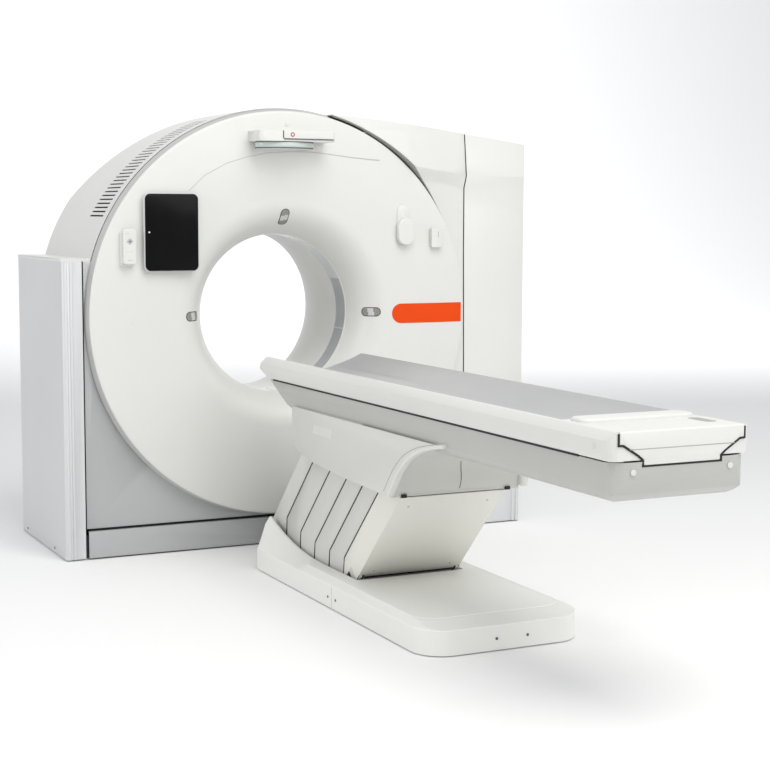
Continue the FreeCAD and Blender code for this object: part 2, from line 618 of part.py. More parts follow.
def make_motor_pulley():
    mx, mz = PULLEY_AT
    wheel = cyl(PULLEY_R + 6.0, (mx, DRUM_Y + 1.0, mz), DRUM_T - 2.0, (0, 1, 0))
    y0 = DRUM_Y + (DRUM_T - BELT_W) / 2 - 1.0
    groove = cyl(PULLEY_R + 20.0, (mx, y0, mz), BELT_W + 2.0, (0, 1, 0))
    groove = groove.cut(cyl(PULLEY_R, (mx, y0 - 1, mz), BELT_W + 4.0, (0, 1, 0)))
    shaft = cyl(14.0, (mx, DRUM_Y + 10.0, mz), 78.0, (0, 1, 0))
    return wheel.cut(groove).fuse(shaft).removeSplitter()


def make_drive_motor():
    mx, mz = PULLEY_AT
    body = cyl(80.0, (mx, 198.0, mz), 190.0, (0, 1, 0))
    for k in range(18):
        fin = box(76.0, 84.0, 230.0, 376.0, -2.0, 2.0)
        fin.rotate(V(0, 0, 0), V(0, 1, 0), k * 20.0)
        fin.translate(V(mx, 0, mz))
        body = body.fuse(fin)
    body = body.fuse(box(mx - 35.0, mx + 35.0, 260.0, 330.0, mz + 70.0, mz + 104.0))
    return body.cut(cyl(14.0 + RUN_GAP, (mx, 190.0, mz), 40.0, (0, 1, 0))).removeSplitter()


def make_electronics_cabinet():
    """Steel cabinet in the right tower, open to the front, with shelves for its power modules."""
    x0, x1 = RIGHT_SEAM_X + 30.0, RIGHT_BASE_X - 40.0
    y0, y1 = -60.0, 480.0
    z0, z1 = FLOOR_PLATE, 1480.0
    cabinet = box(x0, x1, y0, y1, z0, z1).cut(box(x0 + 3, x1 - 3, y0 - 1, y1 - 3, z0 + 3, z1 - 3))
    for k in range(5):
        z = z0 + 60.0 + k * 270.0
        cabinet = cabinet.fuse(box(x0 + 3, x1 - 3, y0 + 20.0, y1 - 3, z, z + 200.0))
    return cabinet.removeSplitter()


def make_brush_block():
    r0 = ROTOR_OUT - 100.0
    y0 = DRUM_Y + DRUM_T + 20.0 + 0.5
    body = box(-60.0, 60.0, y0 + 12.0, STATOR_Y, ISO_Z - r0 - 60.0, ISO_Z - r0)
    for k in range(5):
        x = -44.0 + 22.0 * k
        body = body.fuse(box(x - 6.0, x + 6.0, y0, y0 + 14.0, ISO_Z - r0 - 50.0, ISO_Z - r0 - 10.0))
    return body.removeSplitter()


save("base_frame", make_base_frame())
save("stator_ring", make_stator_ring())
save("bearing_outer_ring", ring_y(OUTER_RACE[0] - 11.4, OUTER_RACE[1], RACE_Y + 2.0, STATOR_Y))
save("fan_housing", make_fan_housing())
save("cooling_fan", make_cooling_fan())
save("drive_belt", make_drive_belt())
save("motor_pulley", make_motor_pulley())
save("drive_motor", make_drive_motor())
save("electronics_cabinet", make_electronics_cabinet())
save("brush_block", make_brush_block())


# ---------------------------------------------------------------- rotating part
def make_rotor_drum():
    """Plate that carries the tube and detector; its rim is grooved for the belt."""
    drum = ring_y(ROTOR_IN, ROTOR_OUT, DRUM_Y, DRUM_Y + DRUM_T)
    y0 = DRUM_Y + (DRUM_T - BELT_W) / 2 - 1.0
    drum = drum.cut(ring_y(GROOVE_R, ROTOR_OUT + 10.0, y0, y0 + BELT_W + 2.0))
    step = ring_y(INNER_RACE[0] - 30.0, INNER_RACE[1], DRUM_Y + DRUM_T, RACE_Y)
    spigot = ring_y(INNER_RACE[0] - 30.0, INNER_RACE[0] - 0.3, RACE_Y - 1.0, STATOR_Y - 6.0)
    return drum.fuse(step).fuse(spigot).removeSplitter()


TUBE_AT_R = ROTOR_OUT - 158.0


def make_xray_tube():
    z = ISO_Z + TUBE_AT_R
    tube = cyl(94.0, (0, -112.0, z), DRUM_Y + 112.0, (0, 1, 0))
    tube = tube.fuse(cyl(104.0, (0, DRUM_Y - 14.0, z), 14.0, (0, 1, 0)))
    tube = tube.fuse(cyl(60.0, (0, -128.0, z), 20.0, (0, 1, 0)))
    return tube.removeSplitter()


COLL_Z = (BORE_R + 84.0, BORE_R + 184.0)
JAW_Z = (BORE_R + 96.0, BORE_R + 112.0)


def make_collimator():
    """Box under the tube with a beam slot and a cross slot for the two jaws."""
    z0, z1 = ISO_Z + COLL_Z[0], ISO_Z + COLL_Z[1]
    body = box(-110.0, 110.0, -82.0, DRUM_Y, z0, z1)
    body = body.cut(box(-86.0, 86.0, -14.0, 14.0, z0 - 1, z1 + 1))
    return body.cut(box(-92.0, 92.0, -72.0, 72.0, ISO_Z + JAW_Z[0], ISO_Z + JAW_Z[1]))


def make_jaw(side):
    y0, y1 = sorted((side * 4.0, side * 46.0))
    return box(-91.0, 91.0, y0, y1, ISO_Z + JAW_Z[0] + 0.5, ISO_Z + JAW_Z[1] - 0.5)


def make_detector_arc():
    """Arc of detector modules centred on the tube's focus, with its cooling ribs."""
    focus_z = ISO_Z + TUBE_AT_R - 40.0
    r0 = TUBE_AT_R - 40.0 + BORE_R + 140.0
    r1 = r0 + 66.0
    half = math.radians(23.0)
    edge = r1 * 1.2
    y0 = -70.0
    sector = prism_y([(0.0, focus_z), (-edge * math.sin(half), focus_z - edge * math.cos(half)),
                      (edge * math.sin(half), focus_z - edge * math.cos(half))], y0, DRUM_Y)
    outer = cyl(r1, (0, y0, focus_z), DRUM_Y - y0, (0, 1, 0))
    inner = cyl(r0, (0, y0 - 1, focus_z), DRUM_Y - y0 + 2, (0, 1, 0))
    arc_body = outer.cut(inner).common(sector)
    ribs = []
    for k in range(-8, 9):
        rib = box(-4.0, 4.0, y0 + 20.0, DRUM_Y, -r1 - 14.0, -r1 + 3.0)
        rib.rotate(V(0, 0, 0), V(0, 1, 0), k * 2.6)
        rib.translate(V(0, 0, focus_z))
        ribs.append(rib)
    return arc_body.fuse(ribs).removeSplitter()


def make_hv_generator():
    body = box(-720.0, -470.0, -50.0, DRUM_Y, ISO_Z - 190.0, ISO_Z + 190.0)
    body = body.fuse(cyl(34.0, (-595.0, -80.0, ISO_Z + 100.0), 40.0, (0, 1, 0)))
    return body.fuse(cyl(34.0, (-595.0, -80.0, ISO_Z - 100.0), 40.0, (0, 1, 0))).removeSplitter()


def make_heat_exchanger():
    body = box(470.0, 720.0, 60.0, DRUM_Y, ISO_Z - 180.0, ISO_Z + 180.0)
    for k in range(18):
        z = ISO_Z - 176.0 + k * 20.6
        body = body.fuse(box(474.0, 716.0, -40.0, 61.0, z, z + 4.0))
    return body.removeSplitter()


save("rotor_drum", make_rotor_drum())
save("bearing_inner_ring", ring_y(INNER_RACE[0], INNER_RACE[1], RACE_Y, STATOR_Y - 6.0))
save("slip_ring", ring_y(ROTOR_OUT - 108.0, ROTOR_OUT - 28.0, DRUM_Y + DRUM_T, DRUM_Y + DRUM_T + 20.0))
save("xray_tube", make_xray_tube())
save("collimator", make_collimator())
save("jaw_front", make_jaw(-1))
save("jaw_rear", make_jaw(1))
save("detector_arc", make_detector_arc())
save("hv_generator", make_hv_generator())
save("heat_exchanger", make_heat_exchanger())

# ---------------------------------------------------------------- things docked on the front cover
TABLET = (-654.0, -414.0, 1214.0, 1543.0)     # x from, x to, z from, z to
TABLET_T = 17.0
REMOTE = (-745.0, -689.0, 1246.0, 1393.0)
PUCK = (527.0, 606.0, 1320.0, 1438.0)
SENSOR_BOX = (698.0, 755.0, 1309.0, 1396.0)
BADGE = (512.0, 866.0, 968.0, 1056.0)
DISPLAY_X = 176.0
DISPLAY_Z = (1764.0, 1808.0)
DISPLAY_Y = -345.0
KEY_AT = (-717.0, 1342.0)
KEY_HALF = 13.0
KEY_TRAVEL = 1.2


def slab(x0, x1, z0, z1, y_front, y_back, radius):
    """An upright slab with rounded corners."""
    body = box(x0, x1, y_front, y_back, z0, z1)
    return round_edges(body, radius, lambda p, e: is_along(e, (0, 1, 0)))


def seated(x0, x1, z0, z1, proud, radius, sunk=24.0):
    """A slab whose back is shaped to the front cover's face."""
    front = face_y((x0 + x1) / 2, (z0 + z1) / 2) - proud
    return slab(x0, x1, z0, z1, front, front + proud + sunk, radius).cut(DISC_SOLID), front


tablet_dock, tablet_y = seated(TABLET[0] + 14, TABLET[1] - 14, TABLET[2] + 12, TABLET[3] - 30, 15.0, 10.0)
remote_dock, remote_y = seated(REMOTE[0] - 5, REMOTE[1] - 4, REMOTE[2] - 8, REMOTE[3] - 12, 16.0, 8.0)
puck_dock, puck_y = seated(PUCK[0] + 4, PUCK[1] - 12, PUCK[2] + 14, PUCK[3] + 62, 5.0, 30.0)


def make_tablet():
    body = slab(TABLET[0], TABLET[1], TABLET[2], TABLET[3], tablet_y - TABLET_T, tablet_y, 14.0)
    return round_edges(body, 3.0, lambda p, e: abs(p.y - (tablet_y - TABLET_T)) < 0.01)


def key_prism(half, y0, y1):
    x, z = KEY_AT
    return prism_y([(x - half, z), (x, z - half), (x + half, z), (x, z + half)], y0, y1)


def make_remote_control():
    body = slab(REMOTE[0], REMOTE[1], REMOTE[2], REMOTE[3], remote_y - 20.0, remote_y, 13.0)
    body = round_edges(body, 4.0, lambda p, e: abs(p.y - (remote_y - 20.0)) < 0.01)
    pocket = key_prism(KEY_HALF + 0.5, remote_y - 21.0, remote_y - 15.0)
    return body.cut(pocket)


def make_breathing_display():
    """Housing over the bore that shows the patient when to hold the breath."""
    bar = box(-DISPLAY_X, DISPLAY_X, DISPLAY_Y, FRONT_Y + 40.0, DISPLAY_Z[0], DISPLAY_Z[1])
    bar = round_edges(bar, 26.0, lambda p, e: is_along(e, (0, 0, 1)) and p.y < DISPLAY_Y + 5)
    lens = Part.makeCylinder(118.0, 34.0, V(0, 0, 0), V(0, 0, 1))
    squeeze = FreeCAD.Matrix()
    squeeze.scale(V(1.1, 0.62, 1.0))
    lens = lens.transformGeometry(squeeze)
    lens.translate(V(-34.0, DISPLAY_Y + 78.0, DISPLAY_Z[0] - 30.0))
    return bar.fuse(lens).cut(DISC_SOLID).removeSplitter()


def make_puck():
    body = slab(PUCK[0], PUCK[1], PUCK[2], PUCK[3], puck_y - 26.0, puck_y, 38.0)
    return round_edges(body, 5.0, lambda p, e: abs(p.y - (puck_y - 26.0)) < 0.01)


def on_face(prism, thickness):
    """The skin of the front cover's face inside a prism, thickness proud."""
    return disc_filled(thickness).common(prism).cut(DISC_SOLID)


def make_badge():
    x0, x1, z0, z1 = BADGE
    r = (z1 - z0) / 2
    outline = box(x0 + r, x1, -400.0, -150.0, z0, z1)
    outline = outline.fuse(cyl(r, (x0 + r, -400.0, (z0 + z1) / 2), 250.0, (0, 1, 0)))
    skin = on_face(outline, 1.4)
    return max(skin.Solids, key=lambda s: s.Volume)


def make_cover_screws():
    """Screw heads low on the tower and on the table base, the plug and the sensor on the disc."""
    heads = [cyl(6.0, (LEFT_X - 1.5, y, 26.0), 1.5, (1, 0, 0)) for y in (25.0, 507.0)]
    for y, z in ((-1352.0, 42.0), (-1420.0, 42.0)):
        heads.append(cyl(5.0, (-BASE_HALF - 1.5, y, z), 1.5, (1, 0, 0)))
        heads.append(cyl(5.0, (BASE_HALF, y, z), 1.5, (1, 0, 0)))
    for x in (-45.0, 75.0):
        heads.append(cyl(5.0, (x, BASE_FOOT_Y - 1.5, 44.0), 1.5, (0, 1, 0)))
    plug = on_face(cyl(10.0, (-701.0, -400.0, 1008.0), 250.0, (0, 1, 0)), 1.5)
    dot = on_face(cyl(8.0, (3.0, -400.0, 1843.0), 250.0, (0, 1, 0)), 3.0)
    return heads + plug.Solids + dot.Solids


sensor_body, sensor_y = seated(*SENSOR_BOX, 24.0, 7.0)
save("accessory_docks", tablet_dock, remote_dock, puck_dock)
save("tablet", make_tablet())
save("remote_control", make_remote_control())
save("remote_keys", key_prism(KEY_HALF, remote_y - 22.0, remote_y - 16.5))
save("breathing_display", make_breathing_display())
save("ecg_transmitter", make_puck())
save("sensor_box", sensor_body)
save("badge", make_badge())
save("cover_screws", *make_cover_screws())

# ---------------------------------------------------------------- table base
ARM_DY = -ARM * math.sin(math.radians(LEAN))
ARM_DZ = ARM * math.cos(math.radians(LEAN))
SLAT_Y = [SEAM_FIRST_Y + SEAM_PITCH * (k + 0.5) for k in range(SLATS)]
WELL_Y = (FOOT_PIVOT_Y - 98.0, HEAD_PIVOT_Y + 16.0)
WELL_X = FOOT_PANEL_X + 12.0
CHEEK_X = (176.0, 188.0)
CHEEK_TOP = PIVOT_Z + 22.0


def lip_z(y):
    """Height of the base's lip: flat beside the foot end, rising towards the gantry."""
    return DECK_Z + LIP_RISE * max(0.0, (y - LIP_START_Y) / LIP_RUN) ** 2


def make_table_base_frame():
    """Floor plate with two cheeks that hold the lower pivots."""
    frame = box(-255.0, 255.0, BASE_FOOT_Y + 92.0, BASE_HEAD_Y - 40.0, 0.0, 14.0)
    for side in (-1, 1):
        x0, x1 = sorted((side * CHEEK_X[0], side * CHEEK_X[1]))
        frame = frame.fuse(box(x0, x1, FOOT_PIVOT_Y - 30.0, BASE_HEAD_Y - 40.0, 14.0, CHEEK_TOP))
        ear = box(x0, x1, BASE_HEAD_Y - 41.0, HEAD_PIVOT_Y + 26.0, PIVOT_Z - 30.0, CHEEK_TOP)
        frame = frame.fuse(ear)
    for y in SLAT_Y:
        frame = frame.cut(cyl(6.0 + RUN_GAP, (-300.0, y, PIVOT_Z), 600.0, (1, 0, 0)))
    for y in (FOOT_PIVOT_Y, HEAD_PIVOT_Y):
        frame = frame.cut(cyl(12.0 + RUN_GAP, (-300.0, y, PIVOT_Z), 600.0, (1, 0, 0)))
    for x in (-215.0, 215.0):
        for y in (BASE_FOOT_Y + 120.0, BASE_HEAD_Y - 90.0):
            frame = frame.cut(cyl(8.0, (x, y, -1.0), 20.0, (0, 0, 1)))
    return frame.removeSplitter()


def base_section(y, inset):
    """Cross-section of the base cover at one place along the table."""
    half = BASE_HALF - inset
    edge = WELL_X + 8.0 if y > LIP_START_Y else BASE_HALF - 26.0
    top = lip_z(y) - inset
    return Part.makePolygon([V(-half, y, FLOOR_GAP - 2.0), V(-half, y, SKIRT_Z - inset), V(-edge, y, top),
                             V(edge, y, top), V(half, y, SKIRT_Z - inset), V(half, y, FLOOR_GAP - 2.0),
                             V(-half, y, FLOOR_GAP - 2.0)])


def base_outer():
    steps = 6
    rise = [LIP_START_Y + (BASE_HEAD_Y + 40.0 - LIP_START_Y) * k / steps for k in range(1, steps + 1)]
    flat = Part.makeLoft([base_section(BASE_FOOT_Y, 0.0), base_section(LIP_START_Y - 1.0, 0.0)], True, True)
    stations = [base_section(LIP_START_Y - 1.0, 0.0)] + [base_section(y, 0.0) for y in rise]
    sloped = Part.makeLoft(stations, True, True)
    return flat.fuse(sloped)


def make_table_base_cover():
    body = base_outer()
    plan = prism_z([(-BASE_HALF, BASE_FOOT_Y), (BASE_HALF, BASE_FOOT_Y), (BASE_HALF, BASE_HEAD_Y - 60.0),
                    (BASE_HALF - 60.0, BASE_HEAD_Y), (-BASE_HALF + 60.0, BASE_HEAD_Y),
                    (-BASE_HALF, BASE_HEAD_Y - 60.0)], 0.0, 400.0)
    foot_corner = lambda p, e: is_along(e, (0, 0, 1)) and p.y < BASE_FOOT_Y + 1
    plan = round_edges(plan, 110.0, foot_corner)
    side = prism_x([(BASE_FOOT_Y, 0.0), (BASE_FOOT_Y, SKIRT_Z), (BASE_FOOT_Y + 88.0, DECK_Z),
                    (LIP_START_Y, DECK_Z), (BASE_HEAD_Y + 0.0, 400.0), (BASE_HEAD_Y, 0.0)], -500.0, 500.0)
    body = body.common(plan).common(side)
    hollow = box(-BASE_HALF + 8.0, BASE_HALF - 8.0, BASE_FOOT_Y + 90.0, BASE_HEAD_Y - 30.0, 0.0, SKIRT_Z - 4.0)
    hollow = hollow.fuse(box(-200.0, 200.0, BASE_FOOT_Y + 8.0, BASE_FOOT_Y + 100.0, 0.0, SKIRT_Z - 4.0))
    hollow = hollow.fuse(box(-240.0, 240.0, BASE_HEAD_Y - 40.0, BASE_HEAD_Y - 8.0, 0.0, SKIRT_Z - 4.0))
    well = box(-WELL_X, WELL_X, WELL_Y[0], WELL_Y[1], 0.0, 500.0)
    duct = box(-DUCT[0] - 1.0, DUCT[0] + 1.0, BASE_HEAD_Y - 60.0, 0.0, 0.0, DUCT[1] + 1.0)
    return body.cut(hollow).cut(well).cut(duct).removeSplitter()


def make_cable_duct():
    """Low duct on the floor between the table and the gantry."""
    outer = box(-DUCT[0], DUCT[0], BASE_HEAD_Y - 40.0, FRAME_Y[0], 0.0, DUCT[1])
    ridge = lambda p, e: is_along(e, (0, 1, 0)) and p.z > DUCT[1] - 1
    return round_edges(outer, 12.0, ridge)


save("table_base_frame", make_table_base_frame())
save("table_base_cover", make_table_base_cover())
save("cable_duct", make_cable_duct())


# ---------------------------------------------------------------- lifting arms, panels and slats
def lean_shape(shape, pivot_y):
    """Turn a piece drawn upright about its lower pivot, then put it in place."""
    shape.rotate(V(0, 0, 0), V(1, 0, 0), LEAN)
    shape.translate(V(0, pivot_y, PIVOT_Z))
    return shape


def make_lift_arm(pivot_y, panel_off, x0, x1):
    """Two bars on a lower and an upper shaft; one face of the bars carries the end panel."""
    reach = abs(panel_off) - COVER_T
    y0, y1 = (-reach, 26.0) if panel_off < 0 else (-26.0, reach)
    arm = None
    for side in (-1, 1):
        a, b = sorted((side * x0, side * x1))
        bar = box(a, b, y0, y1, 30.0, ARM - 30.0)
        ends = box(a, b, -26.0, 26.0, -26.0, ARM + 26.0)
        ends = round_edges(ends, 25.0, lambda p, e: is_along(e, (1, 0, 0)))
        bar = bar.fuse(ends)
        arm = bar if arm is None else arm.fuse(bar)
    for z in (120.0, ARM - 120.0):
        arm = arm.fuse(box(-x0 - 1.0, x0 + 1.0, -16.0, 16.0, z - 22.0, z + 22.0))
    for z in (0.0, ARM):
        arm = arm.fuse(cyl(12.0, (-198.0, 0, z), 396.0, (1, 0, 0)))
    return lean_shape(arm.removeSplitter(), pivot_y)


def dogleg(y0, y1, z_low, z_kink, z_top):
    """Side strip outline: upright at its foot, then leaning with the arms; given at the foot's height."""
    lean = math.tan(math.radians(LEAN))
    k0, k1 = y0 - 10.0, y1 - 10.0
    rise = z_top - z_kink
    return [(y0, z_low), (y1, z_low), (k1, z_kink), (k1 - rise * lean, z_top), (k0 - rise * lean, z_top),
            (k0, z_kink)]


STRIP_LOW = 84.0
STRIP_TOP = PIVOT_Z + ARM_DZ + 77.0
KINK_RISE = 55.0


def seam_y(k):
    return SEAM_FIRST_Y + SEAM_PITCH * k


def kink_z(y):
    return lip_z(y) + KINK_RISE


FOOT_PANEL_TOP = ARM + 70.0
HEAD_PANEL_TOP = ARM + 110.0


def make_foot_panel():
    """Channel over the foot-side arm: a leaning face and two side strips."""
    off = FOOT_PANEL_OFF
    face = box(-FOOT_PANEL_X, FOOT_PANEL_X, -off, -off + COVER_T, 28.0, FOOT_PANEL_TOP)
    panel = lean_shape(face, FOOT_PIVOT_Y)
    foot_y = FOOT_PIVOT_Y - off / math.cos(math.radians(LEAN))
    outline = dogleg(foot_y - 60.0, seam_y(0), STRIP_LOW, kink_z(seam_y(0)), STRIP_TOP - 67.0)
    limit = lean_shape(box(-400.0, 400.0, -off, 600.0, -200.0, FOOT_PANEL_TOP), FOOT_PIVOT_Y)
    for side in (-1, 1):
        x0, x1 = sorted((side * (FOOT_PANEL_X - 2.5), side * FOOT_PANEL_X))
        panel = panel.fuse(prism_x(outline, x0, x1).common(limit))
    low = lean_shape(box(-400.0, 400.0, -off - 5.0, 0.0, -200.0, 28.0), FOOT_PIVOT_Y)
    return panel.cut(low).removeSplitter()


def make_head_panel():
    """The same channel on the gantry side."""
    off = HEAD_PANEL_OFF
    face = box(-HEAD_PANEL_X, HEAD_PANEL_X, off - COVER_T, off, 20.0, HEAD_PANEL_TOP)
    panel = lean_shape(face, HEAD_PIVOT_Y)
    y0 = seam_y(SLATS) - SLAT_LAP
    head_y = HEAD_PIVOT_Y + off / math.cos(math.radians(LEAN))
    outline = dogleg(y0, head_y + 40.0, STRIP_LOW + 20.0, kink_z(seam_y(SLATS)), STRIP_TOP)
    limit = lean_shape(box(-400.0, 400.0, -600.0, off, -200.0, HEAD_PANEL_TOP), HEAD_PIVOT_Y)
    for side in (-1, 1):
        x0, x1 = sorted((side * (HEAD_PANEL_X - 2.5), side * HEAD_PANEL_X))
        panel = panel.fuse(prism_x(outline, x0, x1).common(limit))
    return panel.removeSplitter()


SLAT_TILT = 2.2


def make_slat_pair(k):
    """Left and right side slat on one pivot rod; tilted a little so that neighbours slide over each other."""
    y0 = seam_y(k) - SLAT_LAP
    y1 = seam_y(k + 1)
    outline = dogleg(y0, y1, STRIP_LOW, kink_z(y1), STRIP_TOP)
    pivot = V(0, SLAT_Y[k], PIVOT_Z)
    lean = math.radians(LEAN)
    along = V(0, -math.sin(lean), math.cos(lean))
    pair = cyl(6.0, (-205.0, SLAT_Y[k], PIVOT_Z), 410.0, (1, 0, 0))
    top = pivot + along * ARM
    for side in (-1, 1):
        x0, x1 = sorted((side * 204.7, side * (204.7 + SLAT_T)))
        slat = prism_x(outline, x0, x1)
        slat.rotate(V(side * 205.7, pivot.y, pivot.z), along, -side * SLAT_TILT)
        stub = cyl(5.0, (side * 190.0, top.y, top.z), 15.5, (side, 0, 0))
        boss = cyl(11.0, (side * 199.0, pivot.y, pivot.z), 6.5, (side, 0, 0))
        pair = pair.fuse(slat).fuse(stub).fuse(boss)
    return pair.removeSplitter()


def make_lift_gearmotor():
    """Geared drive beside the lower pivot shaft, on the base frame."""
    y = FOOT_PIVOT_Y + 130.0
    body = box(-90.0, 90.0, y - 45.0, y + 45.0, 14.0, 96.0)
    body = body.fuse(cyl(38.0, (90.0, y, 56.0), 70.0, (1, 0, 0)))
    return body.fuse(box(-60.0, -20.0, FOOT_PIVOT_Y - 22.0, y - 44.0, 14.0, 70.0)).removeSplitter()


save("foot_lift_arm", make_lift_arm(FOOT_PIVOT_Y, -FOOT_PANEL_OFF, 120.0, 152.0))
save("gantry_lift_arm", make_lift_arm(HEAD_PIVOT_Y, HEAD_PANEL_OFF, 120.0, 152.0))
save("foot_panel", make_foot_panel())
save("gantry_panel", make_head_panel())
for k in range(SLATS):
    save("slat_pair_%d" % (k + 1), make_slat_pair(k))
save("lift_gearmotor", make_lift_gearmotor())

# ---------------------------------------------------------------- carriage, hood and table top
CARR_Z = PIVOT_Z + ARM_DZ
CARR_FOOT_Y = FOOT_PIVOT_Y + ARM_DY
CARR_HEAD_Y = HEAD_PIVOT_Y + ARM_DY
HULL_SIDE = [(RAIL_X - 5.0, RAIL_BOTTOM - 4.0), (RAIL_X - 14.0, HULL_BOTTOM + 31.0),
             (RAIL_X - 28.0, HULL_BOTTOM + 8.0), (RAIL_X - 48.0, HULL_BOTTOM)]


def make_carriage_frame():
    """Two cheeks with the upper pivots, joined under the table's tub."""
    frame = None
    for side in (-1, 1):
        x0, x1 = sorted((side * CHEEK_X[0], side * CHEEK_X[1]))
        cheek = prism_x([(CARR_FOOT_Y - 22.0, CARR_Z - 24.0), (CARR_HEAD_Y + 24.0, CARR_Z - 24.0),
                         (CARR_HEAD_Y + 24.0, CARR_Z + 20.0), (CARR_HEAD_Y - 40.0, CARR_Z + 50.0),
                         (CARR_HEAD_Y - 110.0, CARR_Z + 130.0), (CARR_HEAD_Y - 110.0, HULL_BOTTOM),
                         (CARR_FOOT_Y - 22.0, HULL_BOTTOM)], x0, x1)
        frame = cheek if frame is None else frame.fuse(cheek)
    for y in (CARR_FOOT_Y + 80.0, (CARR_FOOT_Y + CARR_HEAD_Y) / 2, CARR_HEAD_Y - 150.0):
        beam = box(-CHEEK_X[0] - 1.0, CHEEK_X[0] + 1.0, y - 30.0, y + 30.0, HULL_BOTTOM - 60.0, HULL_BOTTOM)
        frame = frame.fuse(beam)
    for y in (CARR_FOOT_Y, CARR_HEAD_Y):
        frame = frame.cut(cyl(12.0 + RUN_GAP, (-300.0, y, CARR_Z), 600.0, (1, 0, 0)))
    for y in SLAT_Y:
        frame = frame.cut(cyl(8.0, (-300.0, y + ARM_DY, CARR_Z), 600.0, (1, 0, 0)))
    return frame.removeSplitter()


def hull_section(y, inset):
    pts = [(x - inset, z + (inset if z < RAIL_BOTTOM - 10 else 0)) for x, z in HULL_SIDE]
    ring = [(x, z) for x, z in pts] + [(-x, z) for x, z in reversed(pts)]
    return Part.makePolygon([V(x, y, z) for x, z in ring + ring[:1]])


def hull_filled(inset):
    body = Part.makeLoft([hull_section(TOP_FOOT_Y - 50.0, inset), hull_section(TOP_HEAD_Y + 50.0, inset)],
                         True, True)
    head = prism_x([(TOP_FOOT_Y + 72.0 + inset, HULL_BOTTOM - 20.0), (TOP_FOOT_Y + 56.0 + inset, HULL_BOTTOM),
                    (TOP_FOOT_Y + 22.0 + inset, HULL_BOTTOM + 24.0), (TOP_FOOT_Y + 5.0 + inset, HULL_BOTTOM + 64.0),
                    (TOP_FOOT_Y + inset, RAIL_BOTTOM),
                    (TOP_HEAD_Y - 70.0 - inset, RAIL_BOTTOM), (TOP_HEAD_Y - 155.0 - inset, 735.0),
                    (TOP_HEAD_Y - 330.0 - inset, HULL_BOTTOM - 20.0)], -400.0, 400.0)
    body = body.common(head)
    plan_y = TOP_FOOT_Y + inset
    plan = box(-RAIL_X + inset, RAIL_X - inset, plan_y, 0.0, 0.0, 2000.0)
    plan = round_edges(plan, 74.0, lambda p, e: is_along(e, (0, 0, 1)) and p.y < plan_y + 1)
    return body.common(plan)


HULL_SOLID = hull_filled(0.0)
TAB_HALF = 131.0
TAB_BOTTOM = 770.0
TAB_SHOULDER = 196.0
TAB_GAP = 3.5             # dark joint round the tab
END_RAIL_Y = TOP_FOOT_Y + 50.0


def make_table_hull():
    """Tub under the rails: open above, closed at both ends, notched for the end piece's tab."""
    tub = HULL_SOLID.cut(hull_filled(COVER_T))
    tub = tub.cut(box(-RAIL_X + 14.0, RAIL_X - 14.0, TOP_FOOT_Y + 62.0, TOP_HEAD_Y - 90.0,
                      RAIL_BOTTOM - 8.0, 900.0))
    notch = box(-TAB_HALF - 5.0, TAB_HALF + 5.0, TOP_FOOT_Y - 10.0, TOP_FOOT_Y + 62.0, TAB_BOTTOM - 5.0, 900.0)
    # cross ribs inside the tub carry the rails and the drive of the cradle
    for y in (-1300.0, -2050.0, -2700.0):
        rib = box(-180.0, 180.0, y - 8.0, y + 8.0, HULL_BOTTOM + 3.0, HULL_BOTTOM + 60.0)
        tub = tub.fuse(rib)
    return max(tub.cut(notch).Solids, key=lambda s: s.Volume)


def rail_outline(side):
    inner = TOP_HALF + RAIL_GAP
    pts = [(inner, TOP_Z), (inner + 9.0, TOP_Z - 2.0), (RAIL_X, TOP_Z - 28.0), (RAIL_X, RAIL_BOTTOM + 16.0),
           (RAIL_X - 5.0, RAIL_BOTTOM), (inner - 16.0, RAIL_BOTTOM), (inner - 16.0, RAIL_BOTTOM + 4.0),
           (inner, RAIL_BOTTOM + 4.0)]
    return [(side * x, z) for x, z in pts]


def nose_block(x0, x1):
    """Side outline of the pointed head end."""
    return prism_x([(-4000.0, 600.0), (TOP_HEAD_Y - 160.0, 600.0), (TOP_HEAD_Y - 72.0, RAIL_BOTTOM - 4.0),
                    (TOP_HEAD_Y + 29.0, TOP_Z - 50.0), (TOP_HEAD_Y + 24.0, TOP_Z - 36.0), (TOP_HEAD_Y, TOP_Z),
                    (-4000.0, TOP_Z)], x0, x1)


def end_filler(side):
    """Block that closes the corner between a rail's foot end and the end piece's tab."""
    inner = TOP_HALF + RAIL_GAP
    top = TOP_Z - 41.5
    gap = TAB_GAP
    pts = [(TAB_HALF + gap, RAIL_BOTTOM), (TAB_HALF + 14.0 + gap, TAB_BOTTOM + 26.0), (TAB_SHOULDER + gap, top),
           (inner + 1.0, top), (inner + 1.0, RAIL_BOTTOM)]
    return prism_y([(side * x, z) for x, z in pts], TOP_FOOT_Y + 22.0, TOP_FOOT_Y + 42.0)


def make_side_rails():
    """Two side rails with the accessory groove under their outer edge, closed at the foot end."""
    rails = []
    nose = nose_block(-400.0, 400.0)
    for side in (-1, 1):
        rail = prism_y(rail_outline(side), TOP_FOOT_Y + 2.0, TOP_HEAD_Y + 60.0).common(nose)
        plan = box(-RAIL_X, RAIL_X, TOP_FOOT_Y + 2.0, 0.0, 0.0, 2000.0)
        corner = lambda p, e: is_along(e, (0, 0, 1)) and p.y < TOP_FOOT_Y + 3
        rail = rail.common(round_edges(plan, 36.0, corner))
        rails.append(rail.fuse(end_filler(side)).removeSplitter())
    return rails


def sag_arc(z_edge, z_mid, half, y):
    return Part.Arc(V(-half, y, z_edge), V(0, y, z_mid), V(half, y, z_edge)).toShape()


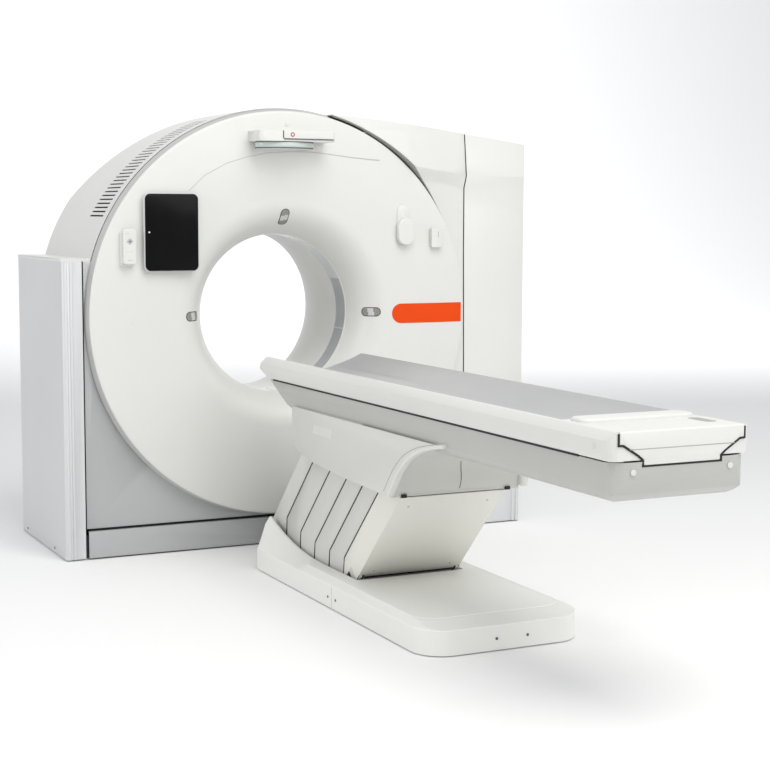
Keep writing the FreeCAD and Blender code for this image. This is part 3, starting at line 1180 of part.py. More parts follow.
def cradle_solid(half, y0, y1, sag, thick):
    """A hollowed board: concave above, convex below, thin at its long edges."""
    top = sag_arc(TOP_Z, TOP_Z - sag, half, y0)
    low_edge = TOP_Z - 7.0
    low = sag_arc(low_edge, TOP_Z - sag - thick, half, y0)
    wire = Part.Wire([top, line(V(half, y0, TOP_Z), V(half, y0, low_edge)), low,
                      line(V(-half, y0, low_edge), V(-half, y0, TOP_Z))])
    return Part.Face(wire).extrude(V(0, y1 - y0, 0))


END_Y = TOP_FOOT_Y + END_PIECE


def make_cradle():
    board = cradle_solid(TOP_HALF, END_Y, TOP_HEAD_Y + 30.0, CRADLE_SAG, CRADLE_T)
    board = board.common(nose_block(-400.0, 400.0))
    runners = []
    for side in (-1, 1):
        x0, x1 = sorted((side * 150.0, side * 178.0))
        runner = box(x0, x1, END_Y, TOP_HEAD_Y - 200.0, RAIL_BOTTOM + 8.0, TOP_Z - 36.0)
        runners.append(runner)
    dish = cradle_solid(TOP_HALF, END_Y - 1.0, TOP_HEAD_Y + 40.0, CRADLE_SAG, CRADLE_T - 1.0)
    above = dish.fuse(box(-TOP_HALF, TOP_HALF, END_Y - 1.0, TOP_HEAD_Y + 40.0, TOP_Z - 7.0, TOP_Z + 50.0))
    runners = [r.cut(above) for r in runners]
    for r in runners:
        board = board.fuse(max(r.Solids, key=lambda s: s.Volume))
    return board.removeSplitter()


def make_cradle_end_piece():
    """White end of the cradle: cover plate, grip bar and the tab that closes the foot end."""
    plate = box(-TOP_HALF, TOP_HALF, TOP_FOOT_Y, END_Y, TOP_Z - 26.0, TOP_Z)
    block = box(-TOP_HALF, TOP_HALF, TOP_FOOT_Y, END_RAIL_Y, TOP_Z - 40.0, TOP_Z)
    apron = prism_y([(-TAB_SHOULDER, TOP_Z - 39.0), (-TAB_HALF - 14.0, TAB_BOTTOM + 26.0), (-TAB_HALF, TAB_BOTTOM + 14.0),
                     (-TAB_HALF, TAB_BOTTOM), (TAB_HALF, TAB_BOTTOM), (TAB_HALF, TAB_BOTTOM + 14.0),
                     (TAB_HALF + 14.0, TAB_BOTTOM + 26.0), (TAB_SHOULDER, TOP_Z - 39.0)], TOP_FOOT_Y, TOP_FOOT_Y + 40.0)
    piece = plate.fuse(block).fuse(apron)
    slot = box(-150.0, 150.0, END_Y - 62.0, END_Y - 24.0, TOP_Z - 40.0, TOP_Z + 1.0)
    return piece.cut(slot).removeSplitter()


def make_rail_plugs():
    """Round plugs in the rail ends and in the tub's foot end."""
    plugs = []
    for side in (-1, 1):
        plugs.append(cyl(9.0, (side * RAIL_X, END_RAIL_Y + 34.0, TOP_Z - 48.0), 1.5, (side, 0, 0)))
        plugs.append(cyl(9.0, (side * 165.0, TOP_FOOT_Y + 1.8, 752.0), 3.0, (0, -1, 0)))
    return [p.cut(HULL_SOLID) for p in plugs]


HOOD_FOOT = [(-1785.0, 487.0), (-1802.0, 518.0), (-1825.0, 570.0), (-1878.0, 629.0), (-1965.0, 669.0),
             (-2057.0, 689.0), (-2120.0, 699.0)]
HOOD_LOW = [(-1135.0, 513.0), (-1379.0, 499.0)]
HOOD_HEAD = [(-838.0, 696.0), (-880.0, 616.0), (-936.0, 555.0), (-967.0, 539.0)]
HOOD_WALL = 4.0
HOOD_RECESS = 16.0
HOOD_RIM = 28.0
END_WALL_DROP = 10.0      # the end wall hangs this much below the sides
HEAD_GATE = (215.0, 610.0)    # half width and top of the opening for the gantry-side panel


def hood_solid(inset, half, drop=0.0):
    """The hood's side outline, ends moved inward by inset, between two sides that flare downwards."""
    foot = [(y + inset, z) for y, z in HOOD_FOOT]
    head = [(y - inset, z) for y, z in HOOD_HEAD]
    low = [(y, z - drop) for y, z in HOOD_LOW]
    if drop:
        low = [(head[-1][0], head[-1][1] - drop)] + low + [(foot[0][0], foot[0][1] - drop)]
    top_z = HOOD_FOOT[-1][1]
    wide = half + HOOD_FLARE * (top_z - 400.0)
    flare = prism_y([(-half, top_z), (half, top_z), (wide, 400.0), (-wide, 400.0)], -3000.0, 0.0)
    return prism_x(head + low + foot, -500.0, 500.0).common(flare)


def make_pedestal_hood():
    """Cover over the top of the pedestal: two flared sides with a rim, and a recessed end wall."""
    foot_part = box(-500.0, 500.0, -4000.0, -1500.0, 0.0, 2000.0)
    core = HOOD_X - HOOD_RIM
    depth = HOOD_RECESS + HOOD_WALL
    sides = hood_solid(0.0, HOOD_X).cut(hood_solid(HOOD_WALL, HOOD_X - HOOD_WALL, 30.0))
    recess = hood_solid(-1.0, core, 30.0).cut(hood_solid(HOOD_RECESS, core + 1.0, 30.0))
    end = hood_solid(HOOD_RECESS, core, END_WALL_DROP).cut(hood_solid(depth, core + 1.0, 30.0))
    rim = hood_solid(0.0, HOOD_X).cut(hood_solid(depth, HOOD_X + 1.0, 30.0)).common(foot_part)
    rim = rim.cut(hood_solid(-1.0, core - 1.0, 30.0))
    hood = sides.cut(recess.common(foot_part)).fuse(end.common(foot_part)).fuse(rim)
    gate = box(-HEAD_GATE[0], HEAD_GATE[0], -1060.0, -800.0, 400.0, HEAD_GATE[1])
    return hood.cut(gate).cut(HULL_SOLID).removeSplitter()


save("carriage_frame", make_carriage_frame())
save("table_hull", make_table_hull())
save("side_rails", *make_side_rails())
save("cradle", make_cradle())
save("cradle_end_piece", make_cradle_end_piece())
save("rail_plugs", *make_rail_plugs())
save("pedestal_hood", make_pedestal_hood())
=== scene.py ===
import bpy
import json
import math
import numpy as np
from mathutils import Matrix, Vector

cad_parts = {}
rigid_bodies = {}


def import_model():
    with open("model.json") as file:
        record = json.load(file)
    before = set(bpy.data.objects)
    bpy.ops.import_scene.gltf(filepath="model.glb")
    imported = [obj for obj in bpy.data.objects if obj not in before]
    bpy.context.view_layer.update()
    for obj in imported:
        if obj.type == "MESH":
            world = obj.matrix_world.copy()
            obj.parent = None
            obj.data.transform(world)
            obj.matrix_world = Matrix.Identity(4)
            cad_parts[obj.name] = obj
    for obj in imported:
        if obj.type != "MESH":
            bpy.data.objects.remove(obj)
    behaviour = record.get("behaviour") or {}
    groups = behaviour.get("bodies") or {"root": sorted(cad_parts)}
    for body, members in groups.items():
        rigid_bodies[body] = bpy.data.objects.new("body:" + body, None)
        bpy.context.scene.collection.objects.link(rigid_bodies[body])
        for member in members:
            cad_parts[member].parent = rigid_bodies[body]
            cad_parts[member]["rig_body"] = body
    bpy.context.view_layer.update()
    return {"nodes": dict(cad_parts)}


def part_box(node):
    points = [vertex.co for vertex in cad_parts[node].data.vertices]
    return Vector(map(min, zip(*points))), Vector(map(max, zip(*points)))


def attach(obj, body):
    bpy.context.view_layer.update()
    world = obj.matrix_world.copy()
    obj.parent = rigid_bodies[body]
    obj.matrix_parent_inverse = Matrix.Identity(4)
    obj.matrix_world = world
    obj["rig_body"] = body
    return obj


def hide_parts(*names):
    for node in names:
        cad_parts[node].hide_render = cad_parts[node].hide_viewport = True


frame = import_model()

# ------------------------------------------------------------------ the room
# A pale seamless floor under large soft lamps, and the camera at a standing person's
# chest height, off to the left of the foot end of the table.
camera = bpy.data.objects.new("camera", bpy.data.cameras.new("camera"))
bpy.context.scene.collection.objects.link(camera)
camera.data.lens = 75.58
camera.data.sensor_width = 36.0
camera.data.clip_end = 100.0
camera.location = (-2.7008, -6.7472, 1.4559)
camera.rotation_euler = (math.radians(90 - 6.02), math.radians(-0.19), math.radians(-25.90))
bpy.context.scene.camera = camera
bpy.context.scene.view_settings.view_transform = "Standard"


def lin(code):
    """sRGB hex text to a linear colour: the standard curve on each of the three bytes."""
    c = np.array([int(code[i:i + 2], 16) for i in (1, 3, 5)]) / 255.0
    c = np.where(c <= 0.04045, c / 12.92, ((c + 0.055) / 1.055) ** 2.4)
    return (float(c[0]), float(c[1]), float(c[2]), 1.0)


def node(tree, kind, values=None, links=None, **settings):
    """Adds one shader node: its settings, its unlinked values, and what feeds its sockets."""
    n = tree.nodes.new(kind)
    for key, value in settings.items():
        setattr(n, key, value)
    for key, value in (values or {}).items():
        n.inputs[key].default_value = value
    for key, source in (links or {}).items():
        tree.links.new(source, n.inputs[key])
    return n


def start_material(name):
    """An empty node material and its tree."""
    m = bpy.data.materials.new(name)
    m.use_nodes = True
    m.node_tree.nodes.clear()
    return m, m.node_tree


def soft_lamp(name, place, aim, size, power, tint="#FFFFFF"):
    """A square area lamp of that size, turned to face its aim."""
    data = bpy.data.lights.new(name, "AREA")
    data.shape = "SQUARE"
    data.size = size
    data.energy = power
    data.color = lin(tint)[:3]
    lamp = bpy.data.objects.new(name, data)
    lamp.location = place
    from_to = np.array(aim, float) - np.array(place, float)
    flat = math.hypot(from_to[0], from_to[1])
    lamp.rotation_euler = (math.pi / 2 + math.atan2(from_to[2], flat), 0,
                           math.atan2(-from_to[0], from_to[1]))
    bpy.context.scene.collection.objects.link(lamp)


soft_lamp("lamp_overhead", (0.3, -4.6, 6.4), (0.1, -0.9, 1.0), 4.5, 240, "#FFFEFA")
soft_lamp("lamp_front", (2.6, -9.5, 4.4), (0.2, -1.0, 0.8), 4.5, 120)
soft_lamp("lamp_left", (-7.5, -1.5, 2.8), (-1.0, 0.2, 1.0), 3.0, 90)
soft_lamp("lamp_backdrop", (6.0, 7.0, 9.5), (11.0, 19.0, 4.5), 6.0, 1100)

world = bpy.data.worlds.new("white_room")
bpy.context.scene.world = world
world.use_nodes = True
world.node_tree.nodes["Background"].inputs["Color"].default_value = lin("#F8F9FB")
world.node_tree.nodes["Background"].inputs["Strength"].default_value = 0.66


def clouded(name, colour, shade, scale, detail, surface):
    """A plain finish: its colour drifts between two tones with a noise of that many grains per metre,
    and the surface's other values are the same all over."""
    m, t = start_material(name)
    place = node(t, "ShaderNodeTexCoord").outputs["Object"]
    grain = node(t, "ShaderNodeTexNoise", {"Scale": scale, "Detail": detail}, {"Vector": place})
    tone = node(t, "ShaderNodeMix", {"A": lin(colour), "B": lin(shade)},
                {"Factor": grain.outputs["Fac"]}, data_type="RGBA")
    body = node(t, "ShaderNodeBsdfPrincipled", surface, {"Base Color": tone.outputs["Result"]})
    node(t, "ShaderNodeOutputMaterial", links={"Surface": body.outputs["BSDF"]})
    return m


floor_paper = clouded("matte_backdrop_paper", "#F4F4F4", "#F9F9F9", 180.0, 4.0, {"Roughness": 0.9})

# the floor runs flat under the machine and curves up far behind it, as a quarter of an ellipse
floor_start, floor_end, bend_deep, bend_high, floor_half = -16.0, 12.0, 9.0, 11.0, 30.0
flat_share = 0.6
run = np.linspace(0.0, 1.0, 49)
bend = np.clip((run - flat_share) / (1 - flat_share), 0.0, 1.0) * np.pi / 2
along = np.where(run < flat_share, floor_start + (floor_end - floor_start) * run / flat_share,
                 floor_end + bend_deep * np.sin(bend))
up = bend_high * (1 - np.cos(bend))
across = np.linspace(-floor_half, floor_half, 13)
sweep = np.stack(np.broadcast_arrays(across[:, None], along[None], up[None]), -1)


def skin(name, points, material, loop_u=False, loop_v=False, flip=False, smooth=35.0, caps=False):
    """A mesh from a (u, v, 3) grid of points in metres: one quad per cell, joined round if asked, with
    the first and last row closed by a flat face each where caps is set."""
    nu, nv = points.shape[:2]
    ids = np.arange(nu * nv).reshape(nu, nv)
    a = np.concatenate([ids, ids[:1]]) if loop_u else ids
    a = np.concatenate([a, a[:, :1]], 1) if loop_v else a
    quads = np.stack([a[:-1, :-1], a[1:, :-1], a[1:, 1:], a[:-1, 1:]], -1).reshape(-1, 4)
    if flip:
        quads = quads[:, ::-1]
    faces = quads.tolist()
    if caps:
        ends = [ids[0][::-1].tolist(), ids[-1].tolist()]
        faces += ends if flip else [end[::-1] for end in ends]
    mesh = bpy.data.meshes.new(name)
    mesh.from_pydata(points.reshape(-1, 3).tolist(), [], faces)
    mesh.polygons.foreach_set("use_smooth", np.ones(len(faces), bool))
    mesh.set_sharp_from_angle(angle=math.radians(smooth))
    mesh.materials.append(material)
    piece = bpy.data.objects.new(name, mesh)
    bpy.context.scene.collection.objects.link(piece)
    return piece


skin("backdrop", sweep, floor_paper)


# ------------------------------------------------------------------ moulded covers
# Polyurethane mouldings, 4 mm thick, sprayed with a satin two-pack enamel. The spray leaves a
# faint orange peel, so highlights on the white have a soft, slightly broken edge.
def sprayed_moulding(name, colour, shade, rough=0.36, peel=0.00006):
    """Satin enamel over a moulding: cloudy tone, peel about 2 mm across, uneven gloss."""
    m, t = start_material(name)
    place = node(t, "ShaderNodeTexCoord").outputs["Object"]
    cloud = node(t, "ShaderNodeTexNoise", {"Scale": 2.3, "Detail": 3.0, "Roughness": 0.55}, {"Vector": place})
    tone = node(t, "ShaderNodeMix", {"A": lin(colour), "B": lin(shade)},
                {"Factor": cloud.outputs["Fac"]}, data_type="RGBA")
    skin_noise = node(t, "ShaderNodeTexNoise", {"Scale": 420.0, "Detail": 2.0}, {"Vector": place})
    gloss = node(t, "ShaderNodeMapRange", {"To Min": rough - 0.05, "To Max": rough + 0.07},
                 {"Value": node(t, "ShaderNodeTexNoise", {"Scale": 9.0, "Detail": 5.0},
                                {"Vector": place}).outputs["Fac"]})
    bump = node(t, "ShaderNodeBump", {"Strength": 0.5, "Distance": peel},
                {"Height": skin_noise.outputs["Fac"]})
    body = node(t, "ShaderNodeBsdfPrincipled", {"IOR": 1.48, "Coat Weight": 0.12, "Coat Roughness": 0.25},
                {"Base Color": tone.outputs["Result"], "Roughness": gloss.outputs["Result"],
                 "Normal": bump.outputs["Normal"]})
    node(t, "ShaderNodeOutputMaterial", links={"Surface": body.outputs["BSDF"]})
    return m


warm_white_enamel = sprayed_moulding("warm_white_enamel", "#E2E2DE", "#DCDCD8")
rim_grey_enamel = sprayed_moulding("rim_grey_enamel", "#C4C4C2", "#BDBDBB", 0.42)


def dress(cad_name, material, bevel=0.0015, angle=28.0, steps=2):
    """A cleaned copy of a CAD solid: doubles merged, edges eased by a small radius, smooth between."""
    source = frame["nodes"][cad_name]
    mesh = source.data.copy()
    mesh.name = cad_name + "_finish"
    piece = bpy.data.objects.new(cad_name + "_finish", mesh)
    bpy.context.scene.collection.objects.link(piece)
    mesh.materials.clear()
    mesh.materials.append(material)
    weld = piece.modifiers.new("weld", "WELD")
    weld.merge_threshold = 0.00002
    if bevel:
        ease = piece.modifiers.new("ease", "BEVEL")
        ease.width = bevel
        ease.segments = steps
        ease.limit_method = "ANGLE"
        ease.angle_limit = math.radians(angle)
        ease.harden_normals = True
    deps = bpy.context.evaluated_depsgraph_get()
    done = bpy.data.meshes.new_from_object(piece.evaluated_get(deps))
    piece.modifiers.clear()
    piece.data = done
    done.polygons.foreach_set("use_smooth", np.ones(len(done.polygons), bool))
    done.set_sharp_from_angle(angle=math.radians(angle))
    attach(piece, source["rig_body"])
    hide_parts(cad_name)
    return piece


for name, edge in (("round_top_cover", 0.0), ("right_upper_cover", 0.0012), ("right_tower_cover", 0.0012),
                   ("rear_cover", 0.0)):
    dress(name, warm_white_enamel, edge)

# ------------------------------------------------------------------ reveal beside the round cover
# A bent strip lines the cut-out in which the disc sits, in a mid grey that is painted shade for that
# recess. It shows as a crescent where the square enclosure stands forward of the rim, deepest at the brow.
# one grey for painted shade here, in the creases and the finger recess, and for the base's joint lines
shade_and_joint_grey = sprayed_moulding("painted_shade_and_joint_grey", "#A9A9A3", "#A1A19B", 0.45)
low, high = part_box("front_cover")
iso_z = (low.z + high.z) / 2
disc_r = (high.x - low.x) / 2
shell_r = disc_r + 0.005
enclosure_y, enclosure_top, seam_x = -0.154, 1.833, 0.905
brow_y, brow_z, brow_rise, brow_drop, brow_reach, brow_reach_run = -0.176, 1.633, 0.14, 0.055, 0.052, 0.305


def enclosure_face(x, z):
    """Y of the square enclosure's front: a brow that rises and stands further forward towards the disc,
    falling straight to the top above it and in three steps below it."""
    reach = brow_reach * np.clip((seam_x - x) / brow_reach_run, 0, 1)
    crest = brow_z + brow_rise * np.maximum(0, seam_x - x)
    below = np.interp(z - crest, [-6 * brow_drop, -3 * brow_drop, -brow_drop, 0.0], [0.0, 0.3, 0.8, 1.0])
    lift = np.interp(z - crest, [-brow_drop, 0.0], [0.0, brow_y - enclosure_y])
    above = np.clip((z - crest) / (enclosure_top - crest), 0, 1)
    y_low = enclosure_y + lift - below * reach
    y_high = (brow_y - reach) * (1 - above) + (enclosure_y - 0.8 * reach) * above
    return np.where(z > crest, y_high, y_low)


# the strip's front edge follows the enclosure's face, and its back edge is drawn in to the disc's rim
strip_clear, strip_tuck, strip_back_y, strip_least = 0.0014, 0.0004, -0.182, 0.003
strip_draw, strip_draw_depth = 0.0085, 0.020
sweep_angle = np.radians(np.linspace(20.0, 75.2, 90))
r = shell_r + strip_clear
front_edge = enclosure_face(r * np.cos(sweep_angle), iso_z + r * np.sin(sweep_angle)) + strip_tuck
deep_edge = np.maximum(front_edge + strip_least, strip_back_y)
draw_in = strip_draw * np.clip((deep_edge - front_edge) / strip_draw_depth, 0, 1)
depth = np.linspace(0.0, 1.0, 5)[:, None]
strip_r = r - draw_in * depth
strip_y = front_edge + (deep_edge - front_edge) * depth
reveal = skin("enclosure_reveal", np.stack([strip_r * np.cos(sweep_angle), strip_y,
                                            iso_z + strip_r * np.sin(sweep_angle)], -1), shade_and_joint_grey)
solid = reveal.modifiers.new("sheet", "SOLIDIFY")
solid.thickness = 0.0006
solid.offset = 0.0
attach(reveal, "stand")

# ------------------------------------------------------------------ front cover
# One large moulding: a funnel rolls out of the bore into a slightly crowned face, with a grey
# rim band behind its edge. Over the funnel a thin grey bead across the face paints the shade of a shallow
# crease.
window_low, window_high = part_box("scan_window")
bore_r, funnel_width, lip_y = 0.350, 0.155, window_low.y
leave_width, arrive_width, leave_depth = 0.16, 0.45, 0.52
face_crown, face_inset, face_settle, corner_reach, corner_drop = 0.008, 0.022, 0.003, 0.012, 0.009
mouth_r, face_edge_r, face_y = bore_r + funnel_width, disc_r - face_inset, low.y + face_crown
rim_y, back_y, rim_taper, cover_wall = -0.194, -0.154, 0.010, 0.004


def funnel_at(s):
    """Radius and y of the funnel, s from 0 at its lip to 1 at its mouth: a cubic Bezier that leaves
    the lip at a slant, runs nearly straight and rolls into the face."""
    w = np.stack([(1 - s) ** 3, 3 * s * (1 - s) ** 2, 3 * s * s * (1 - s), s ** 3], -1)
    r = bore_r + funnel_width * (w @ [0.0, leave_width, arrive_width, 1.0])
    return r, lip_y + (face_y - lip_y) * (w @ [0.0, leave_depth, 1.0, 1.0])


def on_crown(r):
    """Where a radius lies on the face, from -1 at the funnel's mouth to 1 at the face's edge, and the
    face's y there: a parabola, proud in its middle."""
    k = (r - (mouth_r + face_edge_r) / 2) / ((face_edge_r - mouth_r) / 2)
    return k, face_y - face_crown * (1 - k ** 2)


def cover_section():
    """Closed section (radius, y): funnel, parabolic crown, rounded shoulder, tapered rim, then the inside."""
    funnel = np.stack(funnel_at(np.linspace(0, 1, 34)), 1)
    face_r = np.linspace(mouth_r, face_edge_r, 46)[1:]
    k, crown_y = on_crown(face_r)
    face = np.stack([face_r, crown_y + face_settle * np.clip(k, 0, 1)], 1)
    a = np.linspace(0, np.pi / 2, 9)[1:]
    corner = np.stack([face_r[-1] + corner_reach * np.sin(a), face[-1, 1] + corner_drop * (1 - np.cos(a))], 1)
    rim = np.stack([np.linspace(disc_r - rim_taper, disc_r, 6)[1:], np.linspace(rim_y, back_y, 6)[1:]], 1)
    outer = np.concatenate([funnel, face, corner, rim])
    heading = np.gradient(outer, axis=0)
    heading /= np.linalg.norm(heading, axis=1)[:, None]
    inner = outer + cover_wall * np.stack([-heading[:, 1], heading[:, 0]], 1)
    inner[:, 1] = np.minimum(inner[:, 1], lip_y)
    return outer, inner[::-1]


outside, inside = cover_section()
turn = np.linspace(0, 2 * np.pi, 361)[:-1]


def turned(profile, angles):
    """Profile (radius, y) turned round the bore's axis: x = r cos, z = axis height + r sin."""
    r, y = profile[:, 0], profile[:, 1]
    x = r[None] * np.cos(angles)[:, None]
    z = iso_z + r[None] * np.sin(angles)[:, None]
    return np.stack([x, np.broadcast_to(y, x.shape), z], -1)


cover_points = np.concatenate([turned(outside, turn), turned(inside, turn)], 1)
front = skin("front_cover_skin", cover_points, warm_white_enamel, loop_u=True, loop_v=True, flip=True)
front.data.materials.append(rim_grey_enamel)
centres = np.empty(len(front.data.polygons) * 3)
front.data.polygons.foreach_get("center", centres)
centres = centres.reshape(-1, 3)
behind_edge = ((centres[:, 1] > rim_y - 0.0005)
               & (np.hypot(centres[:, 0], centres[:, 2] - iso_z) > disc_r - rim_taper - 0.002))
front.data.polygons.foreach_set("material_index", behind_edge.astype(np.int32))
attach(front, "stand")
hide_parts("front_cover")


def bead(name, path, normal, width, thick, body, material):
    """A flat bead laid on a surface: the path's points are moved sideways along the mitred direction
    square to the path and the surface's normal, round a section with eased edges, closed at both ends."""
    path, normal = np.array(path, float), np.array(normal, float)
    step = np.diff(path, axis=0)
    step /= np.linalg.norm(step, axis=1)[:, None]
    ahead = np.concatenate([step[:1], step[:-1] + step[1:], step[-1:]])
    ahead /= np.linalg.norm(ahead, axis=1)[:, None]
    aside = np.cross(normal, ahead)
    miter = np.concatenate([[1.0], 1 / np.sum(ahead[1:-1] * step[1:], 1), [1.0]])
    section = np.array([[-1, -1], [1, -1], [1, 0.5], [0.8, 1], [-0.8, 1], [-1, 0.5]]) / 2
    pts = (path[:, None] + aside[:, None] * (width * section[None, :, 0] * miter[:, None])[..., None]
           + normal * (thick * section[None, :, 1])[..., None])
    strip = skin(name, pts, material, loop_v=True, smooth=50.0, caps=True)
    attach(strip, body)


# a fine grey bead laid on the crowned face along the crease over the funnel: painted shade in the crease
crease_x = np.array([-0.448, -0.377, -0.278, -0.190, -0.095, 0.010, 0.106, 0.200, 0.297, 0.380, 0.444])
crease_z = np.array([1.553, 1.619, 1.671, 1.698, 1.717, 1.725, 1.725, 1.718, 1.707, 1.700, 1.696])
crease_y = on_crown(np.hypot(crease_x, crease_z - iso_z))[1] - 0.0002
bead("face_crease", np.stack([crease_x, crease_y, crease_z], 1), (0, -1, 0), 0.0030, 0.0014, "stand",
     sprayed_moulding("crease_painted_shade", "#C6C6C0", "#C0C0BA", 0.5))

# ------------------------------------------------------------------ scan window
# A band of thin polyester film bent into a ring between the two halves of the bore: pale and
# milky above, with smoked segments below, and a bright trim ring at its front lip.
film_surface = {"Roughness": 0.16, "IOR": 1.57, "Coat Weight": 0.4, "Coat Roughness": 0.08}
milky_film = clouded("milky_polyester_film", "#B9BBBC", "#C6C8C8", 14.0, 3.0, film_surface)
smoked_film = clouded("smoked_polyester_film", "#8E9091", "#9A9C9D", 14.0, 3.0, film_surface)
film_wall = 0.003
trim_front, trim_back, trim_proud, trim_wall = 0.005, 0.003, 0.0012, 0.004
segments, segment_first, segment_last, segment_gap = 6, math.radians(-205.0), math.radians(25.0), 0.006
segment_margin, segment_proud, segment_wall = 0.008, 0.0006, 0.0012


def band(y0, y1, r, wall, a0, a1, name, material, steps=240):
    """A bent strip: rectangle section (radius, y) with eased edges carried round part of the bore."""
    ease = 0.0006
    section = np.array([[r + ease, y0], [r, y0 + ease], [r, y1 - ease], [r + ease, y1], [r + wall - ease, y1],
                        [r + wall, y1 - ease], [r + wall, y0 + ease], [r + wall - ease, y0]])
    full = abs(a1 - a0 - 2 * np.pi) < 1e-6
    angles = np.linspace(a0, a1, steps + 1)[:-1] if full else np.linspace(a0, a1, steps)
    pts = turned(section, angles)
    return skin(name, pts, material, loop_u=full, loop_v=True, flip=True)


window = band(window_low.y, window_high.y, bore_r, film_wall, 0, 2 * np.pi, "scan_window_film", milky_film)
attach(window, "stand")
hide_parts("scan_window")
trim = band(window_low.y - trim_front, window_low.y + trim_back, bore_r - trim_proud, trim_wall, 0,
            2 * np.pi, "window_trim_ring", warm_white_enamel)
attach(trim, "stand")
segment_turn = (segment_last - segment_first) / segments
for k in range(segments):
    a0 = segment_first + segment_turn * k + segment_gap
    a1 = segment_first + segment_turn * (k + 1) - segment_gap
    dark = band(window_low.y + segment_margin, window_high.y - segment_margin, bore_r - segment_proud,
                segment_wall, a0, a1, "window_lower_segment_%d" % (k + 1), smoked_film, 60)
    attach(dark, "stand")

# ------------------------------------------------------------------ laser windows
# Three smoked acrylic pills set flush in the funnel's slope, where the alignment lines come out: each
# has a black edge and a paler lens in its middle, cast in one glossy piece.
acrylic_surface = {"Roughness": 0.12, "IOR": 1.49, "Coat Weight": 0.6}
smoked_acrylic = clouded("smoked_acrylic", "#85827E", "#918E8A", 30.0, 2.0, acrylic_surface)
pale_acrylic = clouded("pale_acrylic_lens", "#C4C4C2", "#CECECC", 30.0, 2.0, acrylic_surface)
black_edge = clouded("black_acrylic_edge", "#4A4A4C", "#535355", 30.0, 2.0, acrylic_surface)
pill_half_long, pill_half_wide, pill_place, lens_half = 0.025, 0.021, 0.60, 0.014


def lens_pill(name, angle):
    """A stadium on the funnel's surface: rings shrink to its middle line, and stand 1 mm proud inside."""
    ring = np.array([1.0, 1.0, 0.9, 0.80, 0.55, 0.3, 0.0])
    proud = np.array([-0.002, 0.0004, 0.0010, 0.0012, 0.0014, 0.0015, 0.0015])
    half_turn = np.linspace(-np.pi / 2, np.pi / 2, 17)
    straight = np.linspace(1, -1, 12)[1:-1]
    centre_u = pill_half_long * np.concatenate([np.ones(17), straight, -np.ones(17), -straight])
    turn = np.concatenate([half_turn, np.full(10, np.pi / 2), half_turn + np.pi, np.full(10, 1.5 * np.pi)])
    u = centre_u + pill_half_wide * ring[:, None] * np.cos(turn)
    v = pill_half_wide * ring[:, None] * np.sin(turn)
    slope = np.linspace(0, 1, 400)
    r, y = funnel_at(slope)
    length = np.concatenate([[0], np.cumsum(np.hypot(np.diff(r), np.diff(y)))])
    at = np.interp(pill_place, slope, length) + u
    dr, dy = np.gradient(r, length), np.gradient(y, length)
    r_at, y_at = np.interp(at, length, r), np.interp(at, length, y)
    r_at = r_at + np.interp(at, length, dy) * proud[:, None]
    y_at = y_at - np.interp(at, length, dr) * proud[:, None]
    around = angle + v / r_at
    pts = np.stack([r_at * np.cos(around), y_at, iso_z + r_at * np.sin(around)], -1)
    pill = skin(name, pts, smoked_acrylic, loop_v=True, flip=True, smooth=60.0)
    pill.data.materials.append(pale_acrylic)
    pill.data.materials.append(black_edge)
    in_lens = (np.abs(u[:-1]) + np.abs(u[1:])) / 2 < lens_half
    acrylic = np.where(in_lens, 1, 0)
    acrylic[:3] = 2
    pill.data.polygons.foreach_set("material_index", acrylic.ravel().astype(np.int32))
    return pill


for k, angle in enumerate((0.0, 90.0, 180.0)):
    pill = lens_pill("laser_window_%d" % (k + 1), math.radians(angle))
    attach(pill, "stand")
    if k == 0:
        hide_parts("laser_windows")


# ------------------------------------------------------------------ steel covers
# Folded steel sheet, 3 mm, powder coated in silver: the flakes give a weak metallic sheen and
# the coat a fine texture of about half a millimetre, drawn at 1.5 mm.
def powder_coat(name, colour, shade):
    """Powder coat with flakes over steel: cloudy tone, uneven gloss and a fine texture from one noise."""
    m, t = start_material(name)
    place = node(t, "ShaderNodeTexCoord").outputs["Object"]
    flake = node(t, "ShaderNodeTexNoise", {"Scale": 700.0, "Detail": 2.0}, {"Vector": place})
    cloud = node(t, "ShaderNodeTexNoise", {"Scale": 1.6, "Detail": 2.0}, {"Vector": place})
    tone = node(t, "ShaderNodeMix", {"A": lin(colour), "B": lin(shade)},
                {"Factor": cloud.outputs["Fac"]}, data_type="RGBA")
    gloss = node(t, "ShaderNodeMapRange", {"To Min": 0.36, "To Max": 0.5}, {"Value": flake.outputs["Fac"]})
    bump = node(t, "ShaderNodeBump", {"Strength": 0.4, "Distance": 0.00005}, {"Height": flake.outputs["Fac"]})
    coat = node(t, "ShaderNodeBsdfPrincipled", {"Metallic": 0.25},
                {"Base Color": tone.outputs["Result"], "Roughness": gloss.outputs["Result"],
                 "Normal": bump.outputs["Normal"]})
    node(t, "ShaderNodeOutputMaterial", links={"Surface": coat.outputs["BSDF"]})
    return m


silver_powder_coat = powder_coat("silver_powder_coat", "#D6D7D8", "#DCDDDE")
grey_powder_coat = powder_coat("grey_powder_coat", "#B6B7B8", "#BDBEBF")
for name, coat in (("left_tower_cover", silver_powder_coat), ("right_tower_base", silver_powder_coat),
                   ("lower_front_panel", grey_powder_coat), ("plinth_cover", grey_powder_coat)):
    dress(name, coat, 0.001)

